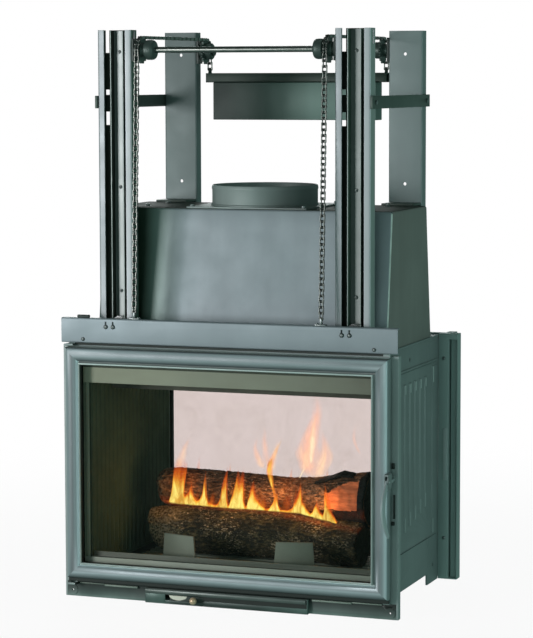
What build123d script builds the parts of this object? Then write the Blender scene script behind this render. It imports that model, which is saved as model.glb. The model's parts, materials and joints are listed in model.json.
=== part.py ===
from build123d import *
import math
import os

# Built-in fireplace insert with a lift-up glazed front, counterweight and see-through rear door.
# Drawn in a working frame: X to the right, Y to the back, Z up, Y = 0 at the front plate, Z = 0 at the feet.
# Every shape is moved by -DEPTH / 2 along Y when it is written, so the origin ends up under the middle.

# ---- driving dimensions, mm ----
WIDTH = 820.0            # front and rear plates, overall width
DEPTH = 507.5            # front plate face to rear plate face
BODY_X = 361.0           # half width over the side panels
BODY_TOP = 597.0         # top of the firebox plate
OPEN_X = 352.0           # half width of the firing opening
OPEN_Z0, OPEN_Z1 = 96.0, 546.0
PLATE_T = 3.0            # front and rear plate thickness
FACE_RETURN = 16.0       # depth of the front plate's side return

HOOD_X = 358.0           # half width of the smoke hood
HOOD_TOP = 912.0
HOOD_Y0_LOW, HOOD_Y1_LOW = 79.0, 428.5
HOOD_Y0_TOP, HOOD_Y1_TOP = 117.0, 390.5
HOOD_T = 3.0
COLLAR_R = 125.0         # flue collar outside radius
COLLAR_T = 3.0
COLLAR_H = 48.0
FLANGE_X, FLANGE_Y = 148.0, 131.0

RAIL_X0, RAIL_X1 = 247.0, 332.0     # uprights, inner and outer faces
RAIL_Y0, RAIL_Y1 = 35.0, 70.0
UPRIGHT_TOP = 1325.0
RAIL_T = 3.0
LIP = 16.0
POST_Y0, POST_Y1 = 438.0, 466.0
ARM_Z0, ARM_Z1 = 1145.0, 1174.0
ARM_Y0, ARM_Y1 = 31.0, 478.0

SHAFT_Y, SHAFT_Z = 52.0, 1279.0
SHAFT_R = 7.0
REAR_SPR_Y, REAR_SPR_Z = 452.0, 1279.0
CHAIN_X = 228.0
CHAIN_PITCH = 12.7       # half-inch chain
TEETH = 14
PITCH_R = CHAIN_PITCH / 2 / math.sin(math.pi / TEETH)   # 28.54
CHAIN_HALF_H = 4.1       # half height of a link plate
CHAIN_HALF_W = 5.6       # half width over the link plates
TRAVEL = 500.0           # lift of the door

BEAM_Z0, BEAM_Z1 = 602.0, 660.0     # crossbeam over the door
BEAM_Y = -10.4
LEAF_X = 393.5           # half width of the door leaf
LEAF_Z0, LEAF_Z1 = 40.0, 594.0
MOULD_Z0, MOULD_Z1 = 48.5, 592.0
MOULD_W = 39.0           # width of the moulding's profile
MOULD_Y0, MOULD_Y1 = -34.0, -19.0
LEAF_BACK = -12.0
GLASS_T = 4.0
RING_Y0, RING_Y1 = -9.0, -2.0       # frame behind the leaf
HINGE_X, HINGE_Y = -388.0, -15.6    # leaf's upright pivot line
HANDLE_Y, HANDLE_Z = -50.0, 321.0   # lever's pivot line, along X

CW_Y0, CW_Y1 = 455.0, 503.0         # counterweight
CW_Z0, CW_Z1 = 1112.0, 1203.0
CW_X = 210.0
CW_BEAM_X, CW_BEAM_Z1 = 233.0, 1226.0

KNOB_X, KNOB_Y, KNOB_Z = -76.0, -30.0, 15.0

os.makedirs("parts", exist_ok=True)
MID = DEPTH / 2


def bx(x0, x1, y0, y1, z0, z1):
    return Pos((x0 + x1) / 2, (y0 + y1) / 2, (z0 + z1) / 2) * Box(x1 - x0, y1 - y0, z1 - z0)


def mirror_x(s):
    return s.mirror(Plane.YZ)


def cyl_x(r, x0, x1, y, z):
    return Pos((x0 + x1) / 2, y, z) * Rot(0, 90, 0) * Cylinder(r, x1 - x0)


def cyl_y(r, y0, y1, x, z):
    return Pos(x, (y0 + y1) / 2, z) * Rot(90, 0, 0) * Cylinder(r, y1 - y0)


def cyl_z(r, z0, z1, x, y):
    return Pos(x, y, (z0 + z1) / 2) * Cylinder(r, z1 - z0)


def prism_yz(pts, x0, x1):
    # polygon of (y, z) points, pushed along X
    w = make_face(Polyline([(x0, y, z) for y, z in pts], close=True))
    s = extrude(w, amount=x1 - x0, dir=(1, 0, 0))
    return s


def prism_xz(pts, y0, y1):
    w = make_face(Polyline([(x, y0, z) for x, z in pts], close=True))
    return extrude(w, amount=y1 - y0, dir=(0, 1, 0))


def prism_xy(pts, z0, z1):
    w = make_face(Polyline([(x, y, z0) for x, y in pts], close=True))
    return extrude(w, amount=z1 - z0, dir=(0, 0, 1))


def ring(x, z0, z1, w, y0, y1, wt=None, wb=None):
    # upright rectangular frame, w wide, between y0 and y1
    wt = w if wt is None else wt
    wb = w if wb is None else wb
    return bx(-x, x, y0, y1, z0, z1) - bx(-x + w, x - w, y0 - 1, y1 + 1, z0 + wb, z1 - wt)


def turned(s):
    # front piece turned half a turn about the body's middle, for the rear face
    return Pos(0, MID, 0) * Rot(0, 0, 180) * Pos(0, -MID, 0) * s


def group(items):
    return Compound(children=[i for i in items])


def write(name, shape):
    solids = list(shape.solids()) if hasattr(shape, "solids") else [shape]
    moved = [Pos(0, -MID, 0) * s for s in solids]
    out = moved[0] if len(moved) == 1 else Compound(children=moved)
    out.label = name
    export_step(out, "parts/" + name + ".step")


def screw_y(x, y, z, r=4.5, h=2.6, out=-1):
    # button head on a face, axis along Y; out is the side it stands on
    a, b = (y - h, y) if out < 0 else (y, y + h)
    s = cyl_y(r, a, b, x, z)
    edge = s.edges().filter_by(GeomType.CIRCLE).sort_by(Axis.Y)[0 if out < 0 else -1]
    s = fillet(edge, h * 0.55)
    slot = bx(x - r * 0.75, x + r * 0.75, a - 0.1 if out < 0 else b - 0.9, a + 0.9 if out < 0 else b + 0.1, z - 0.6, z + 0.6)
    return s - slot


def bolt_z(x, y, z, r=6.0, h=5.0):
    pts = [(x + r * math.cos(math.radians(60 * k + 15)), y + r * math.sin(math.radians(60 * k + 15))) for k in range(6)]
    return prism_xy(pts, z, z + h)


# =====================================================================
# Firebox body
# =====================================================================

# front plate: pressed frame with side, top and bottom returns
front_plate = ring(WIDTH / 2, 0, BODY_TOP, WIDTH / 2 - OPEN_X, 0, PLATE_T, wt=BODY_TOP - OPEN_Z1, wb=OPEN_Z0)
for s in (-1, 1):
    a, b = sorted((s * (WIDTH / 2 - PLATE_T), s * WIDTH / 2))
    front_plate += bx(a, b, PLATE_T, FACE_RETURN, 0, BODY_TOP)
front_plate += bx(-WIDTH / 2, WIDTH / 2, PLATE_T, FACE_RETURN, BODY_TOP - 3, BODY_TOP)
front_plate += bx(-WIDTH / 2, WIDTH / 2, PLATE_T, FACE_RETURN, 0, 3)
# round bosses with a hole at the lower corners
for s in (-1, 1):
    front_plate += cyl_y(12.0, -1.5, 0, s * 391, 15)
    front_plate -= cyl_y(2.2, -2, PLATE_T + 1, s * 391, 15)
# slot behind the air control
front_plate -= bx(-190, -40, -1, PLATE_T + 1, 8, 22)
write("front_plate", front_plate)

# rear plate: deeper frame, open channels down both sides and a cap along the top
rear_plate = ring(WIDTH / 2, 0, BODY_TOP + 3, WIDTH / 2 - OPEN_X, DEPTH - PLATE_T, DEPTH, wt=BODY_TOP + 3 - OPEN_Z1, wb=OPEN_Z0)
side = bx(407, 410, 480, DEPTH - PLATE_T, 0, 600)
side += bx(391, 404, 488, 490.5, 3, 586)
side += bx(391, 393.5, 490.5, DEPTH - PLATE_T, 3, 586)
side += bx(401.5, 404, 490.5, DEPTH - PLATE_T, 3, 586)
side += bx(362, 387, 478, 481, 3, 586)
side += bx(384, 387, 481, DEPTH - PLATE_T, 3, 586)
side += bx(362, 410, 478, DEPTH - PLATE_T, 586, 600)
side += bx(362, 410, 478, DEPTH - PLATE_T, 0, 3)
rear_plate += side
rear_plate += mirror_x(side)
rear_plate += bx(-362, 362, 492, DEPTH - PLATE_T, 597, 600)
write("rear_plate", rear_plate)

# side panels: flat bands at top and bottom, upright ribs between, feet at both ends
def side_panel():
    p = bx(357, 361, PLATE_T, 478, 24, 592)
    p -= bx(350, 370, 116, 391, -1, 26)
    p += bx(357, 361, PLATE_T, 116, 0, 24)
    p += bx(357, 361, 391, 478, 0, 24)
    # raised ribbed field
    p += bx(361, 363, 24, 458, 119, 535)
    # folded seams above and below the field
    p += bx(361, 365, 24, 458, 538, 542)
    p += bx(361, 364, 24, 458, 112, 115)
    for k in range(8):
        y = 72.0 + 41.0 * k
        rib = bx(363, 367, y - 7, y + 7, 146 + 8.5 * max(0, k - 1), 508)
        p += chamfer(rib.edges().filter_by(Axis.Z).group_by(Axis.X)[-1], 3.0)
    # plain upright strip behind the ribs
    p += bx(363, 365, 417, 455, 122, 527)
    # top flange the plate rests on
    p += bx(340, 361, 20, 474, 588, 592)
    # joggle so the outer band overlaps the rear frame
    p += bx(361, 362, 391, 478, 0, 586)
    # room for the front plate's bottom return
    p -= bx(350, 370, 0, FACE_RETURN, -1, 3)
    return p


sp = side_panel()
write("side_panels", group([sp, mirror_x(sp)]))

# screws of the casing
pan_screws = []
for s in (-1, 1):
    for (y, z, x0) in ((244, 561, 361), (60, 561, 361), (433, 42, 362), (60, 70, 361)):
        c = cyl_x(4.0, x0, x0 + 2.4, y, z)
        pan_screws.append(c if s > 0 else mirror_x(c))
for s in (-1, 1):
    for (x, z) in ((375.5, 540), (377, 101)):
        c = screw_y(x, 478, z, r=4.5)
        pan_screws.append(c if s > 0 else mirror_x(c))

# air plenum under the hearth
plenum = bx(-288, 288, 22, 486, 0, 58) - bx(-285.5, 285.5, 24.5, 483.5, 2.5, 60)
plenum -= bx(-180, 180, 20, 26, 8, 40)
write("base_plenum", plenum)

# hearth floor
floor = bx(-356, 356, 3.2, 496, 58, 62)
floor -= bx(-120, 120, 200, 300, 50, 70)
for k in range(9):
    x = -112 + 28 * k
    floor += bx(x - 4, x + 4, 200, 300, 58, 62)
write("hearth_floor", floor)

# ribbed cast linings on both sides
def lining():
    p = bx(349, 355, 16, 492, 62, 586)
    y = 28.0
    while y < 486:
        p += bx(344, 349, y - 6, y + 6, 70, 560)
        y += 24.0
    return p


ln = lining()
write("side_linings", group([ln, mirror_x(ln)]))

# log retainers at the front and the back, each on a sloped sill with a strip folded down over the plate
sill = prism_yz([(3.2, 62.2), (17, 62.2), (17, 108), (13, 108), (13, 91), (3.2, 96)], -343, 343)
sill += bx(-343, 343, 17, 26, 62.2, 65)
sill += bx(-343, 343, 3.2, 8, 92, 96) + bx(-343, 343, -1.5, 8, 96, 97.2) + bx(-360, 360, -1.5, 0, 70, 97.2)
write("glass_sills", group([sill, turned(sill)]))

# air wash strips along the top of each opening
wash = bx(-360, 360, -1.5, 0, 508.5, 549) + bx(-350, 350, 0, 9, 508.5, 510)
write("air_wash_strips", group([wash, turned(wash)]))

# smoke baffle hung across the firebox on four straps
baffle = bx(-343, 343, 128, 379.5, 481, 501)
for s in (-1, 1):
    a, b = sorted((s * 326, s * 332))
    for y in (150, 352):
        baffle += bx(a, b, y, y + 6, 501, 592)
write("smoke_baffle", baffle)

# top plate with the smoke opening
top = bx(-361, 361, 16.2, 491.8, 592, BODY_TOP) - bx(-345, 345, 95, 412, 580, 610)
write("top_plate", top)

# hood: four leaning walls and a top with the flue hole
def hood_solid(t):
    lo = make_face(Polyline([(-HOOD_X + t, HOOD_Y0_LOW + t, BODY_TOP), (HOOD_X - t, HOOD_Y0_LOW + t, BODY_TOP), (HOOD_X - t, HOOD_Y1_LOW - t, BODY_TOP), (-HOOD_X + t, HOOD_Y1_LOW - t, BODY_TOP)], close=True))
    hi = make_face(Polyline([(-HOOD_X + t, HOOD_Y0_TOP + t, HOOD_TOP - t), (HOOD_X - t, HOOD_Y0_TOP + t, HOOD_TOP - t), (HOOD_X - t, HOOD_Y1_TOP - t, HOOD_TOP - t), (-HOOD_X + t, HOOD_Y1_TOP - t, HOOD_TOP - t)], close=True))
    return loft([lo.face(), hi.face()])


hood = hood_solid(0) - hood_solid(HOOD_T)
hood -= cyl_z(COLLAR_R - COLLAR_T, HOOD_TOP - 10, HOOD_TOP + 5, 0, MID)
write("smoke_hood", hood)

# flue collar with its square flange
collar = bx(-FLANGE_X, FLANGE_X, MID - FLANGE_Y, MID + FLANGE_Y, HOOD_TOP, HOOD_TOP + 4)
collar += cyl_z(COLLAR_R + 3, HOOD_TOP + 4, HOOD_TOP + 8, 0, MID)
collar += cyl_z(COLLAR_R, HOOD_TOP + 8, HOOD_TOP + 4 + COLLAR_H, 0, MID)
collar -= cyl_z(COLLAR_R - COLLAR_T, HOOD_TOP - 10, HOOD_TOP + 80, 0, MID)
write("flue_collar", collar)

bolts = []
for sx in (-1, 1):
    for sy in (-1, 1):
        bolts.append(bolt_z(sx * 138, MID + sy * 119, HOOD_TOP + 4, 6, 5))
for (x, y) in ((-279, 203), (279, 203), (-279, 330), (279, 330)):
    bolts.append(bolt_z(x, y, HOOD_TOP, 5.5, 4.5))

# =====================================================================
# Uprights, arms and braces
# =====================================================================
def rail(shift=0.0):
    # lipped channel, open to the front; shift moves the vent slots
    p = bx(RAIL_X0, RAIL_X1, RAIL_Y0, RAIL_Y1, BODY_TOP, UPRIGHT_TOP)
    p -= bx(RAIL_X0 + RAIL_T, RAIL_X1 - RAIL_T, RAIL_Y0 + RAIL_T, RAIL_Y1 - RAIL_T, BODY_TOP - 1, UPRIGHT_TOP + 1)
    p -= bx(RAIL_X0 + LIP, RAIL_X1 - LIP, RAIL_Y0 - 1, RAIL_Y0 + RAIL_T + 1, BODY_TOP - 1, UPRIGHT_TOP + 1)
    return p


# inside the rail the roller track stands off centre: s = 1 right rail, -1 left rail
def rail_for(s):
    p = rail()
    if s < 0:
        p = mirror_x(p)
    # slots in the web, on the side of the track away from the middle of the view
    x0 = -326.0 if s < 0 else RAIL_X0 + 6.0
    for z0, z1 in ((1273, 1326), (1176, 1188), (1106, 1137)):
        p -= bx(x0, x0 + 10, RAIL_Y1 - RAIL_T - 1, RAIL_Y1 + 1, z0, z1)
    # cut-outs in the outer and inner flanges near the top
    for xx in ((-248 if s < 0 else 331), (-333 if s < 0 else 246)):
        p -= bx(xx - 3, xx + 4, 48, 58, 1290, 1322)
    # foot flange
    a, b = (-RAIL_X1, -RAIL_X0) if s < 0 else (RAIL_X0, RAIL_X1)
    p += bx(a, b, RAIL_Y1, RAIL_Y1 + 8, BODY_TOP, BODY_TOP + 4)
    return p


write("front_rails", group([rail_for(-1), rail_for(1)]))

TRACK_C = 289.0       # middle of the roller track, both sides
TRACK_HALF = 14.0


def track(s):
    c = s * TRACK_C
    p = bx(c - TRACK_HALF - 2.5, c + TRACK_HALF + 2.5, 64, 67, BODY_TOP, 1324)
    p += bx(c - TRACK_HALF - 2.5, c - TRACK_HALF, 46, 64, BODY_TOP, 1324)
    p += bx(c + TRACK_HALF, c + TRACK_HALF + 2.5, 46, 64, BODY_TOP, 1324)
    return p


write("roller_tracks", group([track(-1), track(1)]))

for s in (-1, 1):
    for z in (1275, 962, 720):
        pan_screws.append(screw_y(s * TRACK_C, 64, z, r=4.2, h=2.2))
write("pan_head_screws", group(pan_screws))


def post():
    # channel, open to the back
    p = bx(RAIL_X0, RAIL_X1, POST_Y0, POST_Y1, BODY_TOP, UPRIGHT_TOP)
    p -= bx(RAIL_X0 + 3, RAIL_X1 - 3, POST_Y0 + 3, POST_Y1 + 1, BODY_TOP - 1, UPRIGHT_TOP + 1)
    for z in (1270, 961):
        p -= cyl_y(4.0, POST_Y0 - 1, POST_Y0 + 4, 288, z)
    p += bx(RAIL_X0 + 3, RAIL_X1 - 3, POST_Y0 + 3, POST_Y1, BODY_TOP, BODY_TOP + 4)
    return p


pst = post()
write("rear_posts", group([pst, mirror_x(pst)]))

# flat arms between the uprights, bolted to their outer sides, and braces from the hood's rear edge to the posts
arm = bx(332, 338, ARM_Y0, ARM_Y1, ARM_Z0, ARM_Z1)
br = [arm, mirror_x(arm)]
for s in (-1, 1):
    for y in (53, 452):
        c = cyl_x(5.5, 338, 342, y, 1159.5)
        bolts.append(c if s > 0 else mirror_x(c))
write("hex_bolts", group(bolts))
for s in (-1, 1):
    a, b = sorted((s * 250, s * 329))
    br.append(bx(a, b, 372, POST_Y0, HOOD_TOP, HOOD_TOP + 5) + bx(a, b, POST_Y0 - 4, POST_Y0, HOOD_TOP - 14, HOOD_TOP + 5))
write("upright_braces", group(br))

# bearings for the front shaft, on the rails' inner sides
axle = []
for s in (-1, 1):
    b = cyl_x(15, 238, 247, SHAFT_Y, SHAFT_Z) + bx(243, 247, 37, 67, SHAFT_Z - 26, SHAFT_Z + 26)
    b -= cyl_x(SHAFT_R + 0.05, 236, 248, SHAFT_Y, SHAFT_Z)
    axle.append(b if s > 0 else mirror_x(b))

# axle plates for the rear sprockets, on the posts' inner sides
for s in (-1, 1):
    b = bx(242, 247, POST_Y0, POST_Y1, REAR_SPR_Z - 30, REAR_SPR_Z + 30)
    b += cyl_x(SHAFT_R, 206, 242, REAR_SPR_Y, REAR_SPR_Z)
    b += cyl_x(11, 204, 207.5, REAR_SPR_Y, REAR_SPR_Z)
    axle.append(b if s > 0 else mirror_x(b))
write("sprocket_supports", group(axle))


# =====================================================================
# Sprockets and chains
# =====================================================================
def sprocket(x, y, z, phase=0.0):
    tip, root = PITCH_R + 3.3, PITCH_R - 2.6
    pts = []
    for k in range(TEETH):
        a0 = 360.0 / TEETH * k + phase
        for da, r in ((-8.6, root), (-4.6, PITCH_R + 0.2), (-1.8, tip), (1.8, tip), (4.6, PITCH_R + 0.2), (8.6, root)):
            a = math.radians(a0 + da)
            pts.append((y + r * math.cos(a), z + r * math.sin(a)))
    return prism_yz(pts, x - 2.4, x + 2.4)


def front_sprocket():
    p = sprocket(CHAIN_X, SHAFT_Y, SHAFT_Z)
    p += cyl_x(17, CHAIN_X + 2.4, CHAIN_X + 9.4, SHAFT_Y, SHAFT_Z)
    h = cyl_x(23, 191, CHAIN_X - 6.0, SHAFT_Y, SHAFT_Z)
    h = chamfer(h.edges().filter_by(GeomType.CIRCLE).sort_by(Axis.X)[0], 4.0)
    h += cyl_x(20, CHAIN_X - 6.0, CHAIN_X - 2.4, SHAFT_Y, SHAFT_Z)
    p += h
    p -= cyl_x(SHAFT_R, 180, 250, SHAFT_Y, SHAFT_Z)
    return p


fs = front_sprocket()
write("front_sprockets", group([fs, mirror_x(fs)]))

shaft = cyl_x(SHAFT_R, -246.8, 246.8, SHAFT_Y, SHAFT_Z)
write("lift_shaft", shaft)


def rear_sprocket():
    p = sprocket(CHAIN_X, REAR_SPR_Y, REAR_SPR_Z)
    p += cyl_x(20, 209, CHAIN_X - 2.4, REAR_SPR_Y, REAR_SPR_Z)
    p += cyl_x(15, CHAIN_X + 2.4, 241.5, REAR_SPR_Y, REAR_SPR_Z)
    p -= cyl_x(SHAFT_R + 0.05, 200, 250, REAR_SPR_Y, REAR_SPR_Z)
    return p


rs = rear_sprocket()
write("rear_sprocket_right", rs)
write("rear_sprocket_left", mirror_x(rs))


def arc_strip(yc, zc, a0, a1, x0, x1, r0, r1, n=14):
    pts = []
    for k in range(n + 1):
        a = math.radians(a0 + (a1 - a0) * k / n)
        pts.append((yc + r1 * math.cos(a), zc + r1 * math.sin(a)))
    for k in range(n, -1, -1):
        a = math.radians(a0 + (a1 - a0) * k / n)
        pts.append((yc + r0 * math.cos(a), zc + r0 * math.sin(a)))
    return prism_yz(pts, x0, x1)


# chain over the top: two lines of link plates, joined by a core between the sprockets
def top_chain():
    r0, r1 = PITCH_R - CHAIN_HALF_H, PITCH_R + CHAIN_HALF_H
    out = None
    for (x0, x1) in ((CHAIN_X - CHAIN_HALF_W, CHAIN_X - 3.2), (CHAIN_X + 3.2, CHAIN_X + CHAIN_HALF_W)):
        p = arc_strip(SHAFT_Y, SHAFT_Z, 90, 180, x0, x1, r0, r1)
        p += bx(x0, x1, SHAFT_Y, REAR_SPR_Y, SHAFT_Z + r0, SHAFT_Z + r1)
        p += arc_strip(REAR_SPR_Y, REAR_SPR_Z, 0, 90, x0, x1, r0, r1)
        out = p if out is None else out + p
    out += bx(CHAIN_X - 3.2, CHAIN_X + 3.2, SHAFT_Y + 40, REAR_SPR_Y - 40, SHAFT_Z + r0 + 1, SHAFT_Z + r1 - 1)
    return out


# the hubs and bosses beside the teeth stay inside the link plates' inner radius
tc = top_chain()
write("top_chains", group([tc, mirror_x(tc)]))

# front run: from the sprocket's front tangent down to the anchor on the crossbeam
ANCHOR_Y, ANCHOR_Z = -3.0, 674.0
F_TAN_Y = SHAFT_Y - PITCH_R


def front_chain():
    pts = [(F_TAN_Y - CHAIN_HALF_H, SHAFT_Z - 0.3), (F_TAN_Y + CHAIN_HALF_H, SHAFT_Z - 0.3), (ANCHOR_Y + CHAIN_HALF_H, ANCHOR_Z), (ANCHOR_Y - CHAIN_HALF_H, ANCHOR_Z)]
    whole = prism_yz(pts, CHAIN_X - CHAIN_HALF_W, CHAIN_X + CHAIN_HALF_W)
    # clear of the sprocket's teeth between the plates
    whole -= bx(CHAIN_X - 3.2, CHAIN_X + 3.2, -20, 60, SHAFT_Z - 40, SHAFT_Z + 5)
    return whole


fc = front_chain()
write("front_chains", group([fc, mirror_x(fc)]))

# rear drop: from the rear sprocket's back tangent down to the counterweight's beam
R_TAN_Y = REAR_SPR_Y + PITCH_R
LUG_Z = CW_BEAM_Z1 + 9.0


def rear_chain():
    whole = bx(CHAIN_X - CHAIN_HALF_W, CHAIN_X + CHAIN_HALF_W, R_TAN_Y - CHAIN_HALF_H, R_TAN_Y + CHAIN_HALF_H, LUG_Z, REAR_SPR_Z - 0.3)
    whole -= bx(CHAIN_X - 3.2, CHAIN_X + 3.2, R_TAN_Y - 40, R_TAN_Y + 40, REAR_SPR_Z - 33, REAR_SPR_Z + 5)
    return whole


rc = rear_chain()
write("rear_chains", group([rc, mirror_x(rc)]))

# =====================================================================
# Counterweight
# =====================================================================
cw = bx(-CW_X, CW_X, CW_Y0, CW_Y1, CW_Z0, CW_Z1)
cw -= bx(-CW_X + 2, CW_X - 2, CW_Y0 + 2, CW_Y1 - 2, CW_Z0 + 2, CW_Z1 + 1)
write("counterweight_case", cw)
plates = []
for k in range(4):
    z0 = CW_Z0 + 2 + 21.0 * k
    plates.append(bx(-CW_X + 3, CW_X - 3, CW_Y0 + 3, CW_Y1 - 3, z0, z0 + 20.5))
write("weight_plates", group(plates))
cwb = bx(-CW_BEAM_X, CW_BEAM_X, CW_Y0 + 9, CW_Y1 - 9, CW_Z1, CW_BEAM_Z1)
cwb -= bx(-CW_BEAM_X - 1, CW_BEAM_X + 1, CW_Y0 + 12, CW_Y1 - 12, CW_Z1 - 1, CW_BEAM_Z1 - 3)
cwb += bx(-CW_X, CW_X, CW_Y0, CW_Y1, CW_Z1, CW_Z1 + 2)
for s in (-1, 1):
    g = bx(CHAIN_X - 3, CHAIN_X + 3, R_TAN_Y - 5, R_TAN_Y + 5, CW_BEAM_Z1 - 1, LUG_Z)
    cwb += g if s > 0 else mirror_x(g)
write("counterweight_beam", cwb)

# =====================================================================
# Door carriage: crossbeam, frame behind the leaf, roller brackets
# =====================================================================
beam = bx(-WIDTH / 2, WIDTH / 2, BEAM_Y, BEAM_Y + 2, BEAM_Z0, BEAM_Z1)
beam += bx(-WIDTH / 2, WIDTH / 2, BEAM_Y, 6.0, BEAM_Z1 - 2, BEAM_Z1)
beam += bx(-WIDTH / 2, WIDTH / 2, BEAM_Y, -1.0, BEAM_Z0, BEAM_Z0 + 2)
# raised end tab on the left of the top edge
beam += bx(-372, -342, -6, 4, BEAM_Z1, BEAM_Z1 + 7)
write("crossbeam", beam)

car = ring(392, 36, BEAM_Z0, 24, RING_Y0, RING_Y1, wt=40, wb=26)
# pivot tabs for the leaf
for (z0, z1) in ((595.5, 600.5), (31, 36)):
    car += bx(-394, -374, -23.5, RING_Y1, z0, z1)
car -= cyl_z(3.05, 595, 601, HINGE_X, HINGE_Y)
car -= cyl_z(3.05, 30.5, 36.5, HINGE_X, HINGE_Y)
# stud the lever's nose sits on
car += cyl_x(3.0, 390, 403, -5.5, HANDLE_Z + 5)
write("carriage_frame", car)

brk = []
for s in (-1, 1):
    c = s * TRACK_C
    g = bx(c - 9, c + 9, BEAM_Y + 2, 34, 630, 652)
    g += bx(c - 10, c + 10, 34, 38, 606, 656)
    for z in (618.0, 648.0):
        g += cyl_y(4.0, 38, 59, c, z)
    brk.append(g)
write("roller_brackets", group(brk))

ROLLER_R = TRACK_HALF - 0.4
for s, nm in ((-1, "left"), (1, "right")):
    for z, lv in ((618.0, "lower"), (648.0, "upper")):
        r = cyl_y(ROLLER_R, 45, 58, s * TRACK_C, z) - cyl_y(4.05, 40, 60, s * TRACK_C, z)
        write("roller_%s_%s" % (nm, lv), r)

cs = []
for x, z in ((-297, 641), (-279, 641), (279, 641), (297, 641)):
    cs.append(screw_y(x, BEAM_Y, z, r=4.6, h=2.6))
for x in (-355, 355):
    cs.append(screw_y(x, BEAM_Y, 611, r=4.2, h=2.4))
write("carriage_screws", group(cs))

anch = []
for s in (-1, 1):
    g = bx(CHAIN_X - 14, CHAIN_X + 12, -8, 4, BEAM_Z1, BEAM_Z1 + 3)
    g += bx(CHAIN_X - 3, CHAIN_X + 3, ANCHOR_Y - 4, ANCHOR_Y + 4, BEAM_Z1 + 3, ANCHOR_Z)
    g += cyl_z(3.2, BEAM_Z1 + 3, BEAM_Z1 + 6, CHAIN_X - 10, -2)
    anch.append(g if s > 0 else mirror_x(g))
write("chain_anchors", group(anch))

# rope seal on the front plate, behind the carriage frame
seal = ring(384, 48, 584, 10, RING_Y1 + 0.3, 0)
write("frame_seal", seal)

# =====================================================================
# Door leaf, used at the front and, turned round, at the back
# =====================================================================
# moulding profile as (distance in from the outer edge, Y)
PROFILE = [(0, MOULD_Y1)]
for k in range(1, 9):        # rounded outer edge
    a = math.radians(90.0 * k / 8)
    PROFILE.append((13.0 - 13.0 * math.cos(a), MOULD_Y1 - 13.0 * math.sin(a)))
PROFILE += [(16.2, -32.3), (16.4, -31.5), (17.2, -31.5), (17.4, -31.8), (30.0, -29.0)]       # groove and sloping flat
PROFILE += [(30.5, -27.8), (31.3, -27.2), (32.1, -27.6), (32.8, -29.0)]                       # cove
PROFILE += [(33.2, -31.6), (33.9, -33.2), (35.0, MOULD_Y0), (37.4, MOULD_Y0), (38.5, -33.3), (39.0, -32.2), (39.0, MOULD_Y1)]


def moulding():
    x, z0, z1, w = LEAF_X, MOULD_Z0, MOULD_Z1, MOULD_W + 2
    rt = [prism_runs(k) for k in range(4)]
    out = rt[0]
    for r in rt[1:]:
        out += r
    # hollow back, as a rolled section
    out -= ring(LEAF_X - 3, MOULD_Z0 + 3, MOULD_Z1 - 3, 19, -26, MOULD_Y1)
    return out


def prism_runs(k):
    x, z0, z1 = LEAF_X, MOULD_Z0, MOULD_Z1
    h = MOULD_W + 4
    if k in (0, 1):       # left and right
        s = -1 if k == 0 else 1
        face = make_face(Polyline([(s * (x - d), y, z0) for d, y in PROFILE], close=True))
        bar = extrude(face, amount=z1 - z0, dir=(0, 0, 1))
        tri = prism_xz([(s * x, z0), (s * x, z1), (s * (x - h), z1 - h), (s * (x - h), z0 + h)], -50, 0)
    else:
        s, ze = (1, z1) if k == 2 else (-1, z0)
        face = make_face(Polyline([(-x, y, ze - s * d) for d, y in PROFILE], close=True))
        bar = extrude(face, amount=2 * x, dir=(1, 0, 0))
        tri = prism_xz([(-x, ze), (x, ze), (x - h, ze - s * h), (-x + h, ze - s * h)], -50, 0)
    return (bar & tri)


def leaf_frame():
    p = ring(LEAF_X, LEAF_Z0, LEAF_Z1, 26, MOULD_Y1, LEAF_BACK, wt=32, wb=32)
    p += bx(-LEAF_X, LEAF_X, -30, MOULD_Y1, LEAF_Z1 - 2, LEAF_Z1)
    # hollow front, as a folded section
    p -= ring(LEAF_X - 10, LEAF_Z0 + 10, LEAF_Z1 - 10, 13, MOULD_Y1, -15)
    return p


def leaf_glass():
    return bx(-366.5, 366.5, -19, -19 + GLASS_T, 73, 560.5)


def leaf_seal():
    return ring(382, 50, 584, 9, LEAF_BACK, RING_Y0 - 0.35)


def leaf_clips():
    # flat clips that hold the glass in the frame, inside its opening
    res = []
    for x in (-300, 0, 300):
        res.append(bx(x - 15, x + 15, -15, -12, 553, 562))
        res.append(bx(x - 15, x + 15, -15, -12, 72, 80.5))
    for s in (-1, 1):
        for z in (160, 317, 470):
            a, b = sorted((s * 357.5, s * 367.5))
            res.append(bx(a, b, -15, -12, z - 15, z + 15))
    return group(res)


def handle_bracket():
    # side plate on the leaf's edge, a web over the top and an outer ear
    h = HANDLE_Z
    p = bx(LEAF_X, 395.5, -58, -13, h - 22, h + 18)
    p += bx(401.5, 403.5, -58, -31, h - 14, h + 18)
    p += bx(395.5, 401.5, -58, -31, h + 14, h + 18)
    p -= cyl_x(2.55, 390, 410, HANDLE_Y, HANDLE_Z)
    return p


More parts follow.
